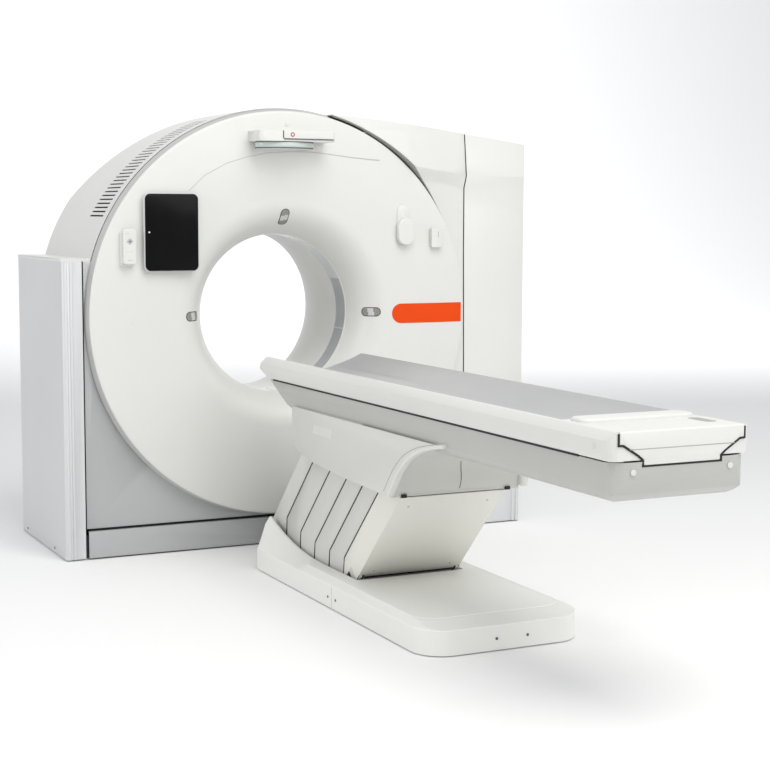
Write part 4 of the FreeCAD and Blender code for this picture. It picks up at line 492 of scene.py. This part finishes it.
# ------------------------------------------------------------------ seals in the joints
# Black EPDM foam strips pressed behind the joints between the covers; dull, with open pores. The
# drive belt and the cable duct inside have the same dull black.
black_foam, t = start_material("black_epdm_foam")
pores = node(t, "ShaderNodeTexNoise", {"Scale": 900.0, "Detail": 3.0},
             {"Vector": node(t, "ShaderNodeTexCoord").outputs["Object"]})
tone = node(t, "ShaderNodeMix", {"A": lin("#0B0B0C"), "B": lin("#1A1A1B")},
            {"Factor": pores.outputs["Fac"]}, data_type="RGBA")
bump = node(t, "ShaderNodeBump", {"Strength": 0.6, "Distance": 0.0002}, {"Height": pores.outputs["Fac"]})
foam = node(t, "ShaderNodeBsdfPrincipled", {"Roughness": 0.85},
            {"Base Color": tone.outputs["Result"], "Normal": bump.outputs["Normal"]})
node(t, "ShaderNodeOutputMaterial", links={"Surface": foam.outputs["BSDF"]})
for name in ("gap_seals", "drive_belt", "cable_duct"):
    frame["nodes"][name].data.materials.clear()
    frame["nodes"][name].data.materials.append(black_foam)

# ------------------------------------------------------------------ tablet and its dock
# A tablet computer on a white moulded dock: a front of black glass with eased edges, set in a silver
# rim, and a small white camera dot beside the screen.
black_glass, t = start_material("black_cover_glass")
place = node(t, "ShaderNodeTexCoord").outputs["Object"]
smear = node(t, "ShaderNodeTexNoise", {"Scale": 11.0, "Detail": 6.0}, {"Vector": place})
tone = node(t, "ShaderNodeMix", {"A": lin("#070708"), "B": lin("#0C0C0D")},
            {"Factor": smear.outputs["Fac"]}, data_type="RGBA")
gloss = node(t, "ShaderNodeMapRange", {"To Min": 0.08, "To Max": 0.2}, {"Value": smear.outputs["Fac"]})
glass = node(t, "ShaderNodeBsdfPrincipled", {"IOR": 1.35, "Specular IOR Level": 0.25},
             {"Base Color": tone.outputs["Result"], "Roughness": gloss.outputs["Result"]})
node(t, "ShaderNodeOutputMaterial", links={"Surface": glass.outputs["BSDF"]})
dress("accessory_docks", warm_white_enamel, 0.0015)


def slab(name, origin, u_axis, v_axis, half_u, half_v, thick, corner, edge, material):
    """A plate with rounded corners and an eased front: the outline is carried up the plate, then drawn
    in round a quarter circle. Its front looks along u cross v."""
    u_axis, v_axis = np.array(u_axis, float), np.array(v_axis, float)
    w_axis = np.cross(u_axis, v_axis)
    a = np.linspace(0, np.pi / 2, 7)
    inset = np.concatenate([[0.0], edge * (1 - np.cos(a))])
    rise = np.concatenate([[0.0], thick - edge + edge * np.sin(a)])
    q = np.linspace(0, np.pi / 2, 9)
    turn_q = (q[None] + np.arange(4)[:, None] * np.pi / 2).ravel()
    sign_u = np.repeat([1, -1, -1, 1], len(q))
    sign_v = np.repeat([1, 1, -1, -1], len(q))
    radius = np.maximum(corner - inset, 0.0001)[:, None]
    u = sign_u * (half_u - np.maximum(corner, inset[:, None])) + radius * np.cos(turn_q)
    v = sign_v * (half_v - np.maximum(corner, inset[:, None])) + radius * np.sin(turn_q)
    pts = np.array(origin) + u[..., None] * u_axis + v[..., None] * v_axis + rise[:, None, None] * w_axis
    return skin(name, pts, material, loop_v=True, flip=True, caps=True)


ACROSS, UP = (1, 0, 0), (0, 0, 1)
low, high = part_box("tablet")
centre = ((low.x + high.x) / 2, high.y, (low.z + high.z) / 2)
half_x, half_z, deep = (high.x - low.x) / 2, (high.z - low.z) / 2, high.y - low.y
tablet_rim = slab("tablet_rim", centre, ACROSS, UP, half_x, half_z, deep - 0.003, 0.026, 0.002,
                  sprayed_moulding("silver_tablet_rim", "#D2D3D4", "#C8C9CA", 0.35))
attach(tablet_rim, "stand")
tablet = slab("tablet_glass", (centre[0], centre[1] - 0.004, centre[2]), ACROSS, UP, half_x - 0.004,
              half_z - 0.004, deep - 0.004, 0.023, 0.0015, black_glass)
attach(tablet, "stand")
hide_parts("tablet")
camera_dot = slab("tablet_camera", (low.x + 0.021, low.y + 0.001, low.z + 0.165), ACROSS, UP, 0.004, 0.004,
                  0.0013, 0.004, 0.0004, warm_white_enamel)
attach(camera_dot, "stand")

# ------------------------------------------------------------------ remote control, transmitter, sensor box
# Small two-part ABS mouldings sprayed in the covers' satin white, clipped in docks on the front cover.
# The remote's keys are grey silicone, and its marks are printed in grey.
dress("remote_control", warm_white_enamel, 0.001)
dress("ecg_transmitter", warm_white_enamel, 0.0015)
dress("sensor_box", warm_white_enamel, 0.003)
key_rubber = sprayed_moulding("grey_key_silicone", "#B9BABA", "#AFB0B0", 0.55, 0.0001)
dark_ink = sprayed_moulding("dark_grey_pad_print", "#4A4B4D", "#555658", 0.5)
dress("remote_keys", key_rubber, 0.0008)
low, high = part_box("remote_keys")
key_dot = slab("remote_key_dot", ((low.x + high.x) / 2, low.y + 0.0003, (low.z + high.z) / 2), ACROSS, UP,
               0.0035, 0.0035, 0.0007, 0.0035, 0.0002, dark_ink)
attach(key_dot, "remote_key")
low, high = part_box("remote_control")
for k, (dx, dz) in enumerate(((0.20, 0.87), (0.37, 0.87), (0.30, 0.36), (0.50, 0.36), (0.70, 0.36),
                              (0.38, 0.12), (0.50, 0.12), (0.62, 0.12))):
    print_dot = slab("remote_print_%d" % (k + 1),
                     (low.x + dx * (high.x - low.x), low.y + 0.0002, low.z + dz * (high.z - low.z)),
                     ACROSS, UP, 0.0022, 0.0016, 0.0005, 0.0012, 0.0002, key_rubber)
    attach(print_dot, "stand")
low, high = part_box("sensor_box")
slot_line = slab("sensor_slot", (low.x + 0.033, low.y + 0.0004, high.z - 0.027), ACROSS, UP, 0.002, 0.013,
                 0.0007, 0.0015, 0.0002, key_rubber)
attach(slot_line, "stand")

# ------------------------------------------------------------------ badge
# A blank strip of orange polyester film stuck on the face, with a satin gloss, a round left end and a
# square right end.
orange_film = clouded("orange_polyester_film", "#EA4A06", "#E64604", 60.0, 3.0,
                      {"Roughness": 0.45, "IOR": 1.4, "Specular IOR Level": 0.25})
dress("badge", orange_film, 0.0003)

# ------------------------------------------------------------------ display over the bore
# A moulded housing with a band across the top and a rounded part under it, which carries a lens of
# pale green acrylic between two dark seals. A red ring is printed near the band's left end.
dress("breathing_display", warm_white_enamel, 0.002)
low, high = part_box("breathing_display")
band_left, band_right, band_half_high = -0.068, high.x - 0.014, 0.0165
band_z = high.z - band_half_high
band_mid, band_half_long = (band_left + band_right) / 2, (band_right - band_left) / 2
band_cover = slab("display_band", (band_mid, low.y + 0.001, band_z), ACROSS, UP, band_half_long,
                  band_half_high, 0.006, 0.004, 0.0025, warm_white_enamel)
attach(band_cover, "stand")
signal_red = sprayed_moulding("signal_red_print", "#B5383A", "#AD3234", 0.4)
for name, radius, forward, material in (("display_ring", 0.0095, 0.0052, signal_red),
                                        ("display_dot", 0.0050, 0.0055, warm_white_enamel)):
    spot = slab(name, (-0.030, low.y - forward + 0.0005, band_z), ACROSS, UP, radius, radius, 0.0006,
                radius - 0.0001, 0.0002, material)
    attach(spot, "stand")
joint_line = slab("display_joint", (band_left - 0.0025, low.y + 0.0003, band_z), ACROSS, UP, 0.0022,
                  band_half_high, 0.0007, 0.0005, 0.0002, dark_ink)
under_z = band_z - band_half_high - 0.002
under_line = slab("display_under_line", (band_mid, low.y + 0.0003, under_z), ACROSS, UP, band_half_long,
                  0.0018, 0.0040, 0.0008, 0.0002, dark_ink)
for line in (joint_line, under_line):
    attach(line, "stand")
pale_green_acrylic = sprayed_moulding("pale_green_acrylic", "#C3CFC9", "#CBD6D0", 0.16, 0.00001)
lens_angle = np.radians(np.linspace(136.0, 404.0, 90))
lens_x, lens_y, lens_half_x, lens_half_y = -0.034, -0.267, 0.1298, 0.0732
lens_low, lens_high, seal_top = low.z + 0.004, low.z + 0.027, low.z + 0.030
for name, z0, z1, proud, material in (("display_lens", lens_low, lens_high, 0.0012, pale_green_acrylic),
                                      ("display_lens_seal_low", low.z, lens_low, 0.0018, dark_ink),
                                      ("display_lens_seal_high", lens_high, seal_top, 0.0018, dark_ink)):
    x = lens_x + (lens_half_x + proud) * np.cos(lens_angle)
    y = lens_y + (lens_half_y + proud) * np.sin(lens_angle)
    height = np.linspace(z0, z1, 4)[:, None]
    ring = skin(name, np.stack(np.broadcast_arrays(x[None], y[None], height), -1), material, flip=True)
    wall_mod = ring.modifiers.new("wall", "SOLIDIFY")
    wall_mod.thickness = 0.001
    wall_mod.offset = -1.0
    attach(ring, "stand")

# ------------------------------------------------------------------ cover screws and plugs
# Blackened steel heads low on the covers, and a white moulded plug and sensor cap on the disc: one
# finish that changes colour half a metre over the floor.
screw_finish, t = start_material("blackened_screws_and_white_plugs")
place = node(t, "ShaderNodeTexCoord").outputs["Object"]
height = node(t, "ShaderNodeSeparateXYZ", links={"Vector": place}).outputs["Z"]
on_disc = node(t, "ShaderNodeMath", {1: 0.5}, {0: height}, operation="GREATER_THAN").outputs["Value"]
tone = node(t, "ShaderNodeMix", {"A": lin("#5C5E60"), "B": lin("#DEDEDA")},
            {"Factor": on_disc}, data_type="RGBA")
head = node(t, "ShaderNodeBsdfPrincipled", {"Roughness": 0.42, "IOR": 1.5},
            {"Base Color": tone.outputs["Result"]})
node(t, "ShaderNodeOutputMaterial", links={"Surface": head.outputs["BSDF"]})
dress("cover_screws", screw_finish, 0.0003)

# ------------------------------------------------------------------ frame and rotating machinery
# What the covers hide: grey primed steel, machined aluminium with turning marks, ground bearing
# steel, brass slip-ring tracks, light enamel housings and black mouldings.
primer = sprayed_moulding("grey_steel_primer", "#6B6E70", "#5F6264", 0.6, 0.0002)
housing_enamel = sprayed_moulding("light_housing_enamel", "#C9C8C0", "#BFBEB6", 0.4)
black_nylon = sprayed_moulding("black_glass_filled_nylon", "#1B1B1D", "#232325", 0.55, 0.00015)

# zinc plate on sheet steel shows faint crystals 6 mm across
zinc, t = start_material("zinc_plated_steel")
place = node(t, "ShaderNodeTexCoord").outputs["Object"]
spangle = node(t, "ShaderNodeTexVoronoi", {"Scale": 160.0}, {"Vector": place})
tone = node(t, "ShaderNodeMix", {"A": lin("#A9ABAE"), "B": lin("#BEC0C2")},
            {"Factor": spangle.outputs["Distance"]}, data_type="RGBA")
plate = node(t, "ShaderNodeBsdfPrincipled", {"Metallic": 1.0, "Roughness": 0.38},
             {"Base Color": tone.outputs["Result"]})
node(t, "ShaderNodeOutputMaterial", links={"Surface": plate.outputs["BSDF"]})


def turned_metal(name, colour, shade, rough, rings):
    """Bare metal with turning marks about the bore's axis: about that many light and dark rings a metre,
    counted together."""
    m, t = start_material(name)
    place = node(t, "ShaderNodeTexCoord").outputs["Object"]
    centred = node(t, "ShaderNodeMapping", {"Location": (0.0, 0.0, -iso_z)}, {"Vector": place})
    marks = node(t, "ShaderNodeTexWave", {"Scale": rings / 6.28, "Distortion": 0.4, "Detail": 1.0},
                 {"Vector": centred.outputs["Vector"]}, wave_type="RINGS", rings_direction="Y")
    tone = node(t, "ShaderNodeMix", {"A": lin(colour), "B": lin(shade)},
                {"Factor": marks.outputs["Fac"]}, data_type="RGBA")
    body = node(t, "ShaderNodeBsdfPrincipled", {"Metallic": 1.0, "Roughness": rough},
                {"Base Color": tone.outputs["Result"]})
    node(t, "ShaderNodeOutputMaterial", links={"Surface": body.outputs["BSDF"]})
    return m


machined = turned_metal("machined_aluminium_plate", "#C4C6C9", "#B4B6BA", 0.34, 900.0)
ground = turned_metal("ground_bearing_steel", "#B9BBBD", "#A8AAAD", 0.2, 1500.0)
brass = turned_metal("turned_brass_tracks", "#C9A45A", "#8E7238", 0.3, 120.0)
for material, names in ((primer, ("base_frame", "stator_ring", "table_base_frame", "foot_lift_arm",
                                  "gantry_lift_arm", "carriage_frame")),
                        (machined, ("rotor_drum", "motor_pulley", "drive_motor", "detector_arc",
                                    "heat_exchanger")),
                        (ground, ("bearing_outer_ring", "bearing_inner_ring", "jaw_front", "jaw_rear")),
                        (brass, ("slip_ring",)),
                        (zinc, ("electronics_cabinet", "collimator")),
                        (housing_enamel, ("xray_tube", "hv_generator")),
                        (black_nylon, ("fan_housing", "cooling_fan", "brush_block", "lift_gearmotor"))):
    for name in names:
        frame["nodes"][name].data.materials.clear()
        frame["nodes"][name].data.materials.append(material)

# ------------------------------------------------------------------ table base
# A low moulded cover with a sloping shoulder and a lip that rises towards the gantry. Raised ridges
# in a lighter white, a painted highlight, run round its skirt and its deck, and a fine joint crosses each
# side.
# the base takes a lighter copy of the covers' white: painted light
base_lit_white = sprayed_moulding("base_white_painted_light", "#F0F0EC", "#EAEAE6", 0.4)
dress("table_base_cover", base_lit_white, 0.003, 9.0)

low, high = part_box("table_base_cover")
base_half, base_foot_y = (high.x - low.x) / 2, low.y
skirt_z, deck_z, shoulder_side, shoulder_end, base_joint_y = 0.088, 0.110, 0.026, 0.088, -1.386
skirt_corner, deck_corner, ridge_head_y, ridge_wide, ridge_high = 0.1085, 0.090, -1.10, 0.0050, 0.0024


def foot_loop(half, foot_y, corner, head_y, z):
    """A path down one side, round the two foot corners as quarter circles, and back up the other side."""
    q = np.linspace(0, np.pi / 2, 13)
    left = np.stack([-half + corner * (1 - np.cos(q)), foot_y + corner * (1 - np.sin(q))], 1)
    straight = np.stack([np.full(4, -half), np.linspace(head_y, foot_y + corner + 0.02, 4)], 1)
    one = np.concatenate([straight, left])
    both = np.concatenate([one, one[::-1] * [-1, 1]])
    return np.column_stack([both, np.full(len(both), z)])


# raised ridges on the skirt's edge and round the deck, lighter as a painted highlight, and the joint across
# each side
ridge_highlight_white = sprayed_moulding("ridge_painted_highlight", "#FAFAF7", "#F4F4F1", 0.3)
bead("base_skirt_ridge", foot_loop(base_half - 0.0015, base_foot_y + 0.0015, skirt_corner, ridge_head_y,
                                   skirt_z + 0.0006), UP, ridge_wide, ridge_high, "stand", ridge_highlight_white)
bead("base_deck_ridge", foot_loop(base_half - shoulder_side - 0.002, base_foot_y + shoulder_end + 0.002,
                                  deck_corner, ridge_head_y, deck_z + 0.0004),
     UP, ridge_wide, ridge_high, "stand", ridge_highlight_white)
for side in (-1, 1):
    bead("base_joint_" + ("left" if side < 0 else "right"),
         [(side * (base_half + 0.0001), base_joint_y, z) for z in (0.008, 0.045, 0.086)], (side, 0, 0),
         0.0020, 0.0006, "stand", shade_and_joint_grey)

# ------------------------------------------------------------------ pedestal: end panels and side slats
# Sheet-metal end panels and four pairs of thin slats that slide over each other as the table moves,
# all sprayed satin white; the foot panel takes a lighter copy of that white, as painted light.
cool_white_enamel = sprayed_moulding("cool_white_enamel", "#DBDBD6", "#D5D5D0")
for name in ("gantry_panel", "slat_pair_1", "slat_pair_2", "slat_pair_3", "slat_pair_4"):
    dress(name, cool_white_enamel, 0.0008)
panel_lit_white = sprayed_moulding("panel_white_painted_light", "#EFEEE6", "#E9E8E0", 0.4)
dress("foot_panel", panel_lit_white, 0.0008)

# ------------------------------------------------------------------ edge beads of the side slats
# A black bead lies on the gantry-side edge of the foot panel's strip and of each slat: painted shadow of
# the gap at the next slat, which shows as five dark dog-leg lines down each side.
# one black for the rubber stops, groove linings and end seal, and for painted gap shadows
black_rubber_and_gap_shadow = clouded("black_rubber_and_painted_gap_shadow", "#0E0E0F", "#1C1C1D", 70.0, 4.0, {"Roughness": 0.6})
lean = math.radians(44.7)
lip_rise, lip_start, lip_run = 0.084, -1.100, 0.495
bead_wide, bead_thick, bead_inset, kink_over_lip = 0.0060, 0.0014, 0.0023, 0.055


def lip_z(y):
    """Height of the base's lip: level beside the foot end, then rising as a parabola towards the gantry."""
    return deck_z + lip_rise * max(0.0, (y - lip_start) / lip_run) ** 2


for k in range(5):
    cad_name, body = ("foot_panel", "foot_arm") if k == 0 else ("slat_pair_%d" % k, "slats_%d" % k)
    low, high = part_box(cad_name)
    foot_y = high.y - bead_inset
    kink = lip_z(high.y) + kink_over_lip
    top = 0.470 if k == 0 else 0.500
    run = math.tan(lean) * (top - kink)
    for side in (-1, 1):
        x = side * (high.x + 0.0002)
        path = [(x, foot_y, low.z), (x, foot_y - 0.009, kink - 0.004), (x, foot_y - 0.012, kink + 0.004),
                (x, foot_y - 0.010 - run, top)]
        bead("slat_bead_%d_%s" % (k + 1, "left" if side < 0 else "right"), path, (side, 0, 0), bead_wide,
             bead_thick, body, black_rubber_and_gap_shadow)

# ------------------------------------------------------------------ small parts of the foot panel
# Hinge tabs at the lower corners with black slabs that paint the shade in their slots, four countersunk
# screws through the face, and a gusset that closes the corner behind each tab. A black strip low across
# the face paints the shadow of a gap.
pivot_y, pivot_z, arm_c, arm_s = -1.322, 0.125, math.cos(lean), math.sin(lean)
panel_off = 0.063
ALONG = (0, -arm_s, arm_c)


def on_arm(x, off, up):
    """A point given in the foot arm's own frame: off square to the arm, up along it from the pivot."""
    return (x, pivot_y + off * arm_c - up * arm_s, pivot_z + off * arm_s + up * arm_c)


panel_bits = []
for side in (-1, 1):
    tag = "left" if side < 0 else "right"
    panel_bits.append(slab("hinge_tab_" + tag, on_arm(side * 0.203, -panel_off, 0.042), ACROSS, ALONG, 0.006,
                           0.014, 0.005, 0.003, 0.0015, cool_white_enamel))
    for x, part in ((0.1925, "inner"), (0.2105, "outer")):
        panel_bits.append(slab("hinge_slot_%s_%s" % (part, tag), on_arm(side * x, -panel_off, 0.045), ACROSS,
                               ALONG, 0.0035 if part == "inner" else 0.0015, 0.017, 0.0007, 0.001, 0.0002,
                               black_rubber_and_gap_shadow))
    gusset_axes = ((0, arm_c, arm_s), ALONG) if side > 0 else (ALONG, (0, arm_c, arm_s))
    gusset_half = (0.033, 0.016) if side > 0 else (0.016, 0.033)
    panel_bits.append(slab("panel_gusset_" + tag, on_arm(side * 0.2093, -0.0285, 0.015), *gusset_axes,
                           *gusset_half, 0.0022, 0.002, 0.0005, cool_white_enamel))
    for up, row in ((0.085, "low"), (0.490, "high")):
        panel_bits.append(slab("panel_screw_%s_%s" % (row, tag), on_arm(side * 0.160, -panel_off, up), ACROSS,
                               ALONG, 0.004, 0.004, 0.0008, 0.0039, 0.0003, key_rubber))
panel_bits.append(slab("panel_gap_shadow", on_arm(0.0, -panel_off, 0.0455), ACROSS, ALONG, 0.186, 0.0042, 0.0012,
                       0.0010, 0.0004, black_rubber_and_gap_shadow))
for bit in panel_bits:
    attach(bit, "foot_arm")

# ------------------------------------------------------------------ hood over the pedestal
# Two moulded cheeks that sweep out under the table like a wheel arch, with a recessed end wall.
hood = dress("pedestal_hood", cool_white_enamel, 0.002)
hood_top_z, hood_half, hood_flare, hood_rim, hood_recess = 0.699, 0.240, 0.2, 0.028, 0.016
foot_curve = np.array([(-1.785, 0.487), (-1.802, 0.518), (-1.825, 0.570), (-1.878, 0.629), (-1.965, 0.669),
                       (-2.057, 0.689), (-2.120, 0.699)])


def hood_side(z):
    """Half width of the hood at a height: it flares downwards in a straight slope."""
    return hood_half + hood_flare * (hood_top_z - z)


# the recessed end wall's faces take a greyer copy of the white: painted shade for the recess
end_wall_painted_shade = sprayed_moulding("end_wall_painted_shade", "#CFCFC9", "#C9C9C3", 0.42)
hood.data.materials.append(end_wall_painted_shade)
count = len(hood.data.polygons)
centres, facing = np.empty(count * 3), np.empty(count * 3)
hood.data.polygons.foreach_get("center", centres)
hood.data.polygons.foreach_get("normal", facing)
centres, facing = centres.reshape(-1, 3), facing.reshape(-1, 3)
painted_shade_wall = ((facing[:, 1] < -0.15) & (centres[:, 1] < -1.5)
           & (np.abs(centres[:, 0]) < hood_side(centres[:, 2]) - hood_rim + 0.001))
hood.data.polygons.foreach_set("material_index", painted_shade_wall.astype(np.int32))

share = np.linspace(0, 6, 37)
curve = np.stack([np.interp(share, range(7), foot_curve[:, i]) for i in (0, 1)], 1)
kernel = np.ones(5) / 5
curve[2:-2] = np.stack([np.convolve(curve[:, i], kernel, "valid") for i in (0, 1)], 1)
heading = np.gradient(curve, axis=0)
heading /= np.linalg.norm(heading, axis=1)[:, None]
outward = np.stack([-heading[:, 1], heading[:, 0]], 1)
rim_section = np.array([(0.0, -0.006), (0.0, 0.001), (0.003, 0.0045), (0.013, 0.006), (0.024, 0.0045),
                        (0.0275, 0.001), (0.0275, -0.015)])
for side in (-1, 1):
    tag = "left" if side < 0 else "right"
    y = curve[:, :1] + outward[:, :1] * rim_section[:, 1]
    z = curve[:, 1:] + outward[:, 1:] * rim_section[:, 1]
    x = side * (hood_side(z) + 0.0006 - rim_section[:, 0])
    rim = skin("hood_rim_" + tag, np.stack([x, y, z], -1), warm_white_enamel, loop_v=True, flip=side < 0,
               smooth=40.0, caps=True)
    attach(rim, "carriage")
    # a grey bead along each cheek paints the shade of a crease
    crease_y, crease_z = curve[2:-3, 0] + 0.034, curve[2:-3, 1] + 0.004
    bead("hood_crease_" + tag, np.stack([side * (hood_side(crease_z) + 0.0003), crease_y, crease_z], 1),
         (side, 0, 0), 0.0022, 0.0012, "carriage", shade_and_joint_grey)
    slope = math.hypot(1.0, hood_flare)
    up_slope = (-side * hood_flare / slope, 0, 1 / slope)
    axes = (up_slope, (0, -1, 0)) if side > 0 else ((0, -1, 0), up_slope)
    halves = (0.018, 0.088) if side > 0 else (0.088, 0.018)
    latch_y, latch_z = -1.170, 0.635
    latch_x = side * (hood_side(latch_z) - 0.0004)
    latch = slab("hood_latch_" + tag, (latch_x, latch_y, latch_z), *axes, *halves, 0.0016, 0.007, 0.0006,
                 cool_white_enamel)
    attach(latch, "carriage")
    stop = slab("hood_stop_" + tag, (side * 0.208, -1.768, 0.4795), ACROSS, UP, 0.010, 0.006, 0.008, 0.002,
                0.001, black_rubber_and_gap_shadow)
    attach(stop, "carriage")
seam_low, seam_high, seam_start_x, seam_bow = 0.492, 0.600, 0.012, 0.030
seam_z = np.linspace(seam_low, seam_high, 7)
seam_y = np.interp(seam_z, foot_curve[:, 1], foot_curve[:, 0]) + hood_recess - 0.0005
seam_at = seam_start_x - seam_bow * ((seam_z - seam_low) / (seam_high - seam_low)) ** 2
bead("hood_wall_seam", np.stack([seam_at, seam_y, seam_z], 1), (0, -1, 0), 0.0030, 0.0012, "carriage",
     dark_ink)

# ------------------------------------------------------------------ table top
# A long tub with side rails, and the sliding cradle in it: a hollowed board of carbon laminate
# with a smooth grey gel coat.
# the tub takes a darker copy of the covers' white: painted shade for its downward-leaning sides
hull_shaded_white = sprayed_moulding("hull_white_painted_shade", "#BCBCB8", "#B6B6B2")
dress("table_hull", hull_shaded_white, 0.003, 20.0)
dress("side_rails", warm_white_enamel, 0.006, 28.0, 4)
gel_coat = sprayed_moulding("grey_gel_coat", "#B6B6B7", "#B0B0B1", 0.34, 0.00003)
dress("cradle", gel_coat, 0.001)
dress("cradle_end_piece", warm_white_enamel, 0.006, 28.0, 4)
grey_abs = sprayed_moulding("pale_grey_abs", "#DCDCD8", "#D5D5D1", 0.45, 0.00009)
dress("rail_plugs", grey_abs, 0.0005)

# accessory groove under each rail, lined with black rubber
low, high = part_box("side_rails")
groove_inset, groove_drop, groove_ys = 0.0046, 0.0022, (-0.630, -1.700, -2.925)
for side in (-1, 1):
    path = [(side * (high.x - groove_inset), y, low.z - groove_drop) for y in groove_ys]
    bead("rail_groove_" + ("left" if side < 0 else "right"), path, (side, 0, 0), 0.0066, 0.0020, "carriage",
         black_rubber_and_gap_shadow)

# black lip seal round the tab of the end piece
tab, shoulder, tab_low, tab_top = 0.1330, 0.1985, 0.7680, 0.8300
outline = [(shoulder + 0.0155, 0.862), (shoulder + 0.0155, tab_top - 0.001), (shoulder, tab_top - 0.002),
           (tab + 0.0145, 0.7965), (tab + 0.0003, 0.7840), (tab + 0.0003, tab_low)]
path = [(-x, low.y - 0.0006, z) for x, z in outline] + [(x, low.y - 0.0006, z) for x, z in outline[::-1]]
bead("end_seal", path, (0, -1, 0), 0.0062, 0.0024, "carriage", black_rubber_and_gap_shadow)

# flush plates close the rail ends beside the tab, and a grey bead across the end piece paints the shade of a
# fine crease
plate_foot_y, plate_head_y, end_crease_z = -3.0905, -3.0700, 0.8160
for side in (-1, 1):
    corner = [(0.1355, 0.7850), (0.1490, 0.7960), (0.2005, 0.8270), (0.2150, 0.8270), (0.2150, 0.7850)]
    ring = np.array([(side * x, z) for x, z in corner])
    plate = np.stack([np.column_stack([ring[:, 0], np.full(5, y), ring[:, 1]])
                      for y in (plate_foot_y, plate_head_y)])
    filler = skin("rail_end_plate_" + ("left" if side < 0 else "right"), plate, warm_white_enamel,
                  loop_v=True, flip=side > 0, caps=True)
    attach(filler, "carriage")
path = [(x, low.y - 0.0020, end_crease_z) for x in (-0.178, 0.0, 0.178)]
bead("end_piece_crease", path, (0, -1, 0), 0.0026, 0.0010, "cradle", shade_and_joint_grey)

# grip bar across the cradle's end, and a grey pad beside the right rail that paints the shade of the finger
# recess
grip = slab("cradle_grip_bar", (-0.002, -2.848, 0.8660), ACROSS, (0, 1, 0), 0.198, 0.044, 0.0125, 0.030,
            0.0100, warm_white_enamel)
finger = slab("finger_recess", (0.158, -2.968, 0.8676), ACROSS, (0, 1, 0), 0.021, 0.052, 0.0008, 0.016,
              0.0003, shade_and_joint_grey)
for piece in (grip, finger):
    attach(piece, "cradle")
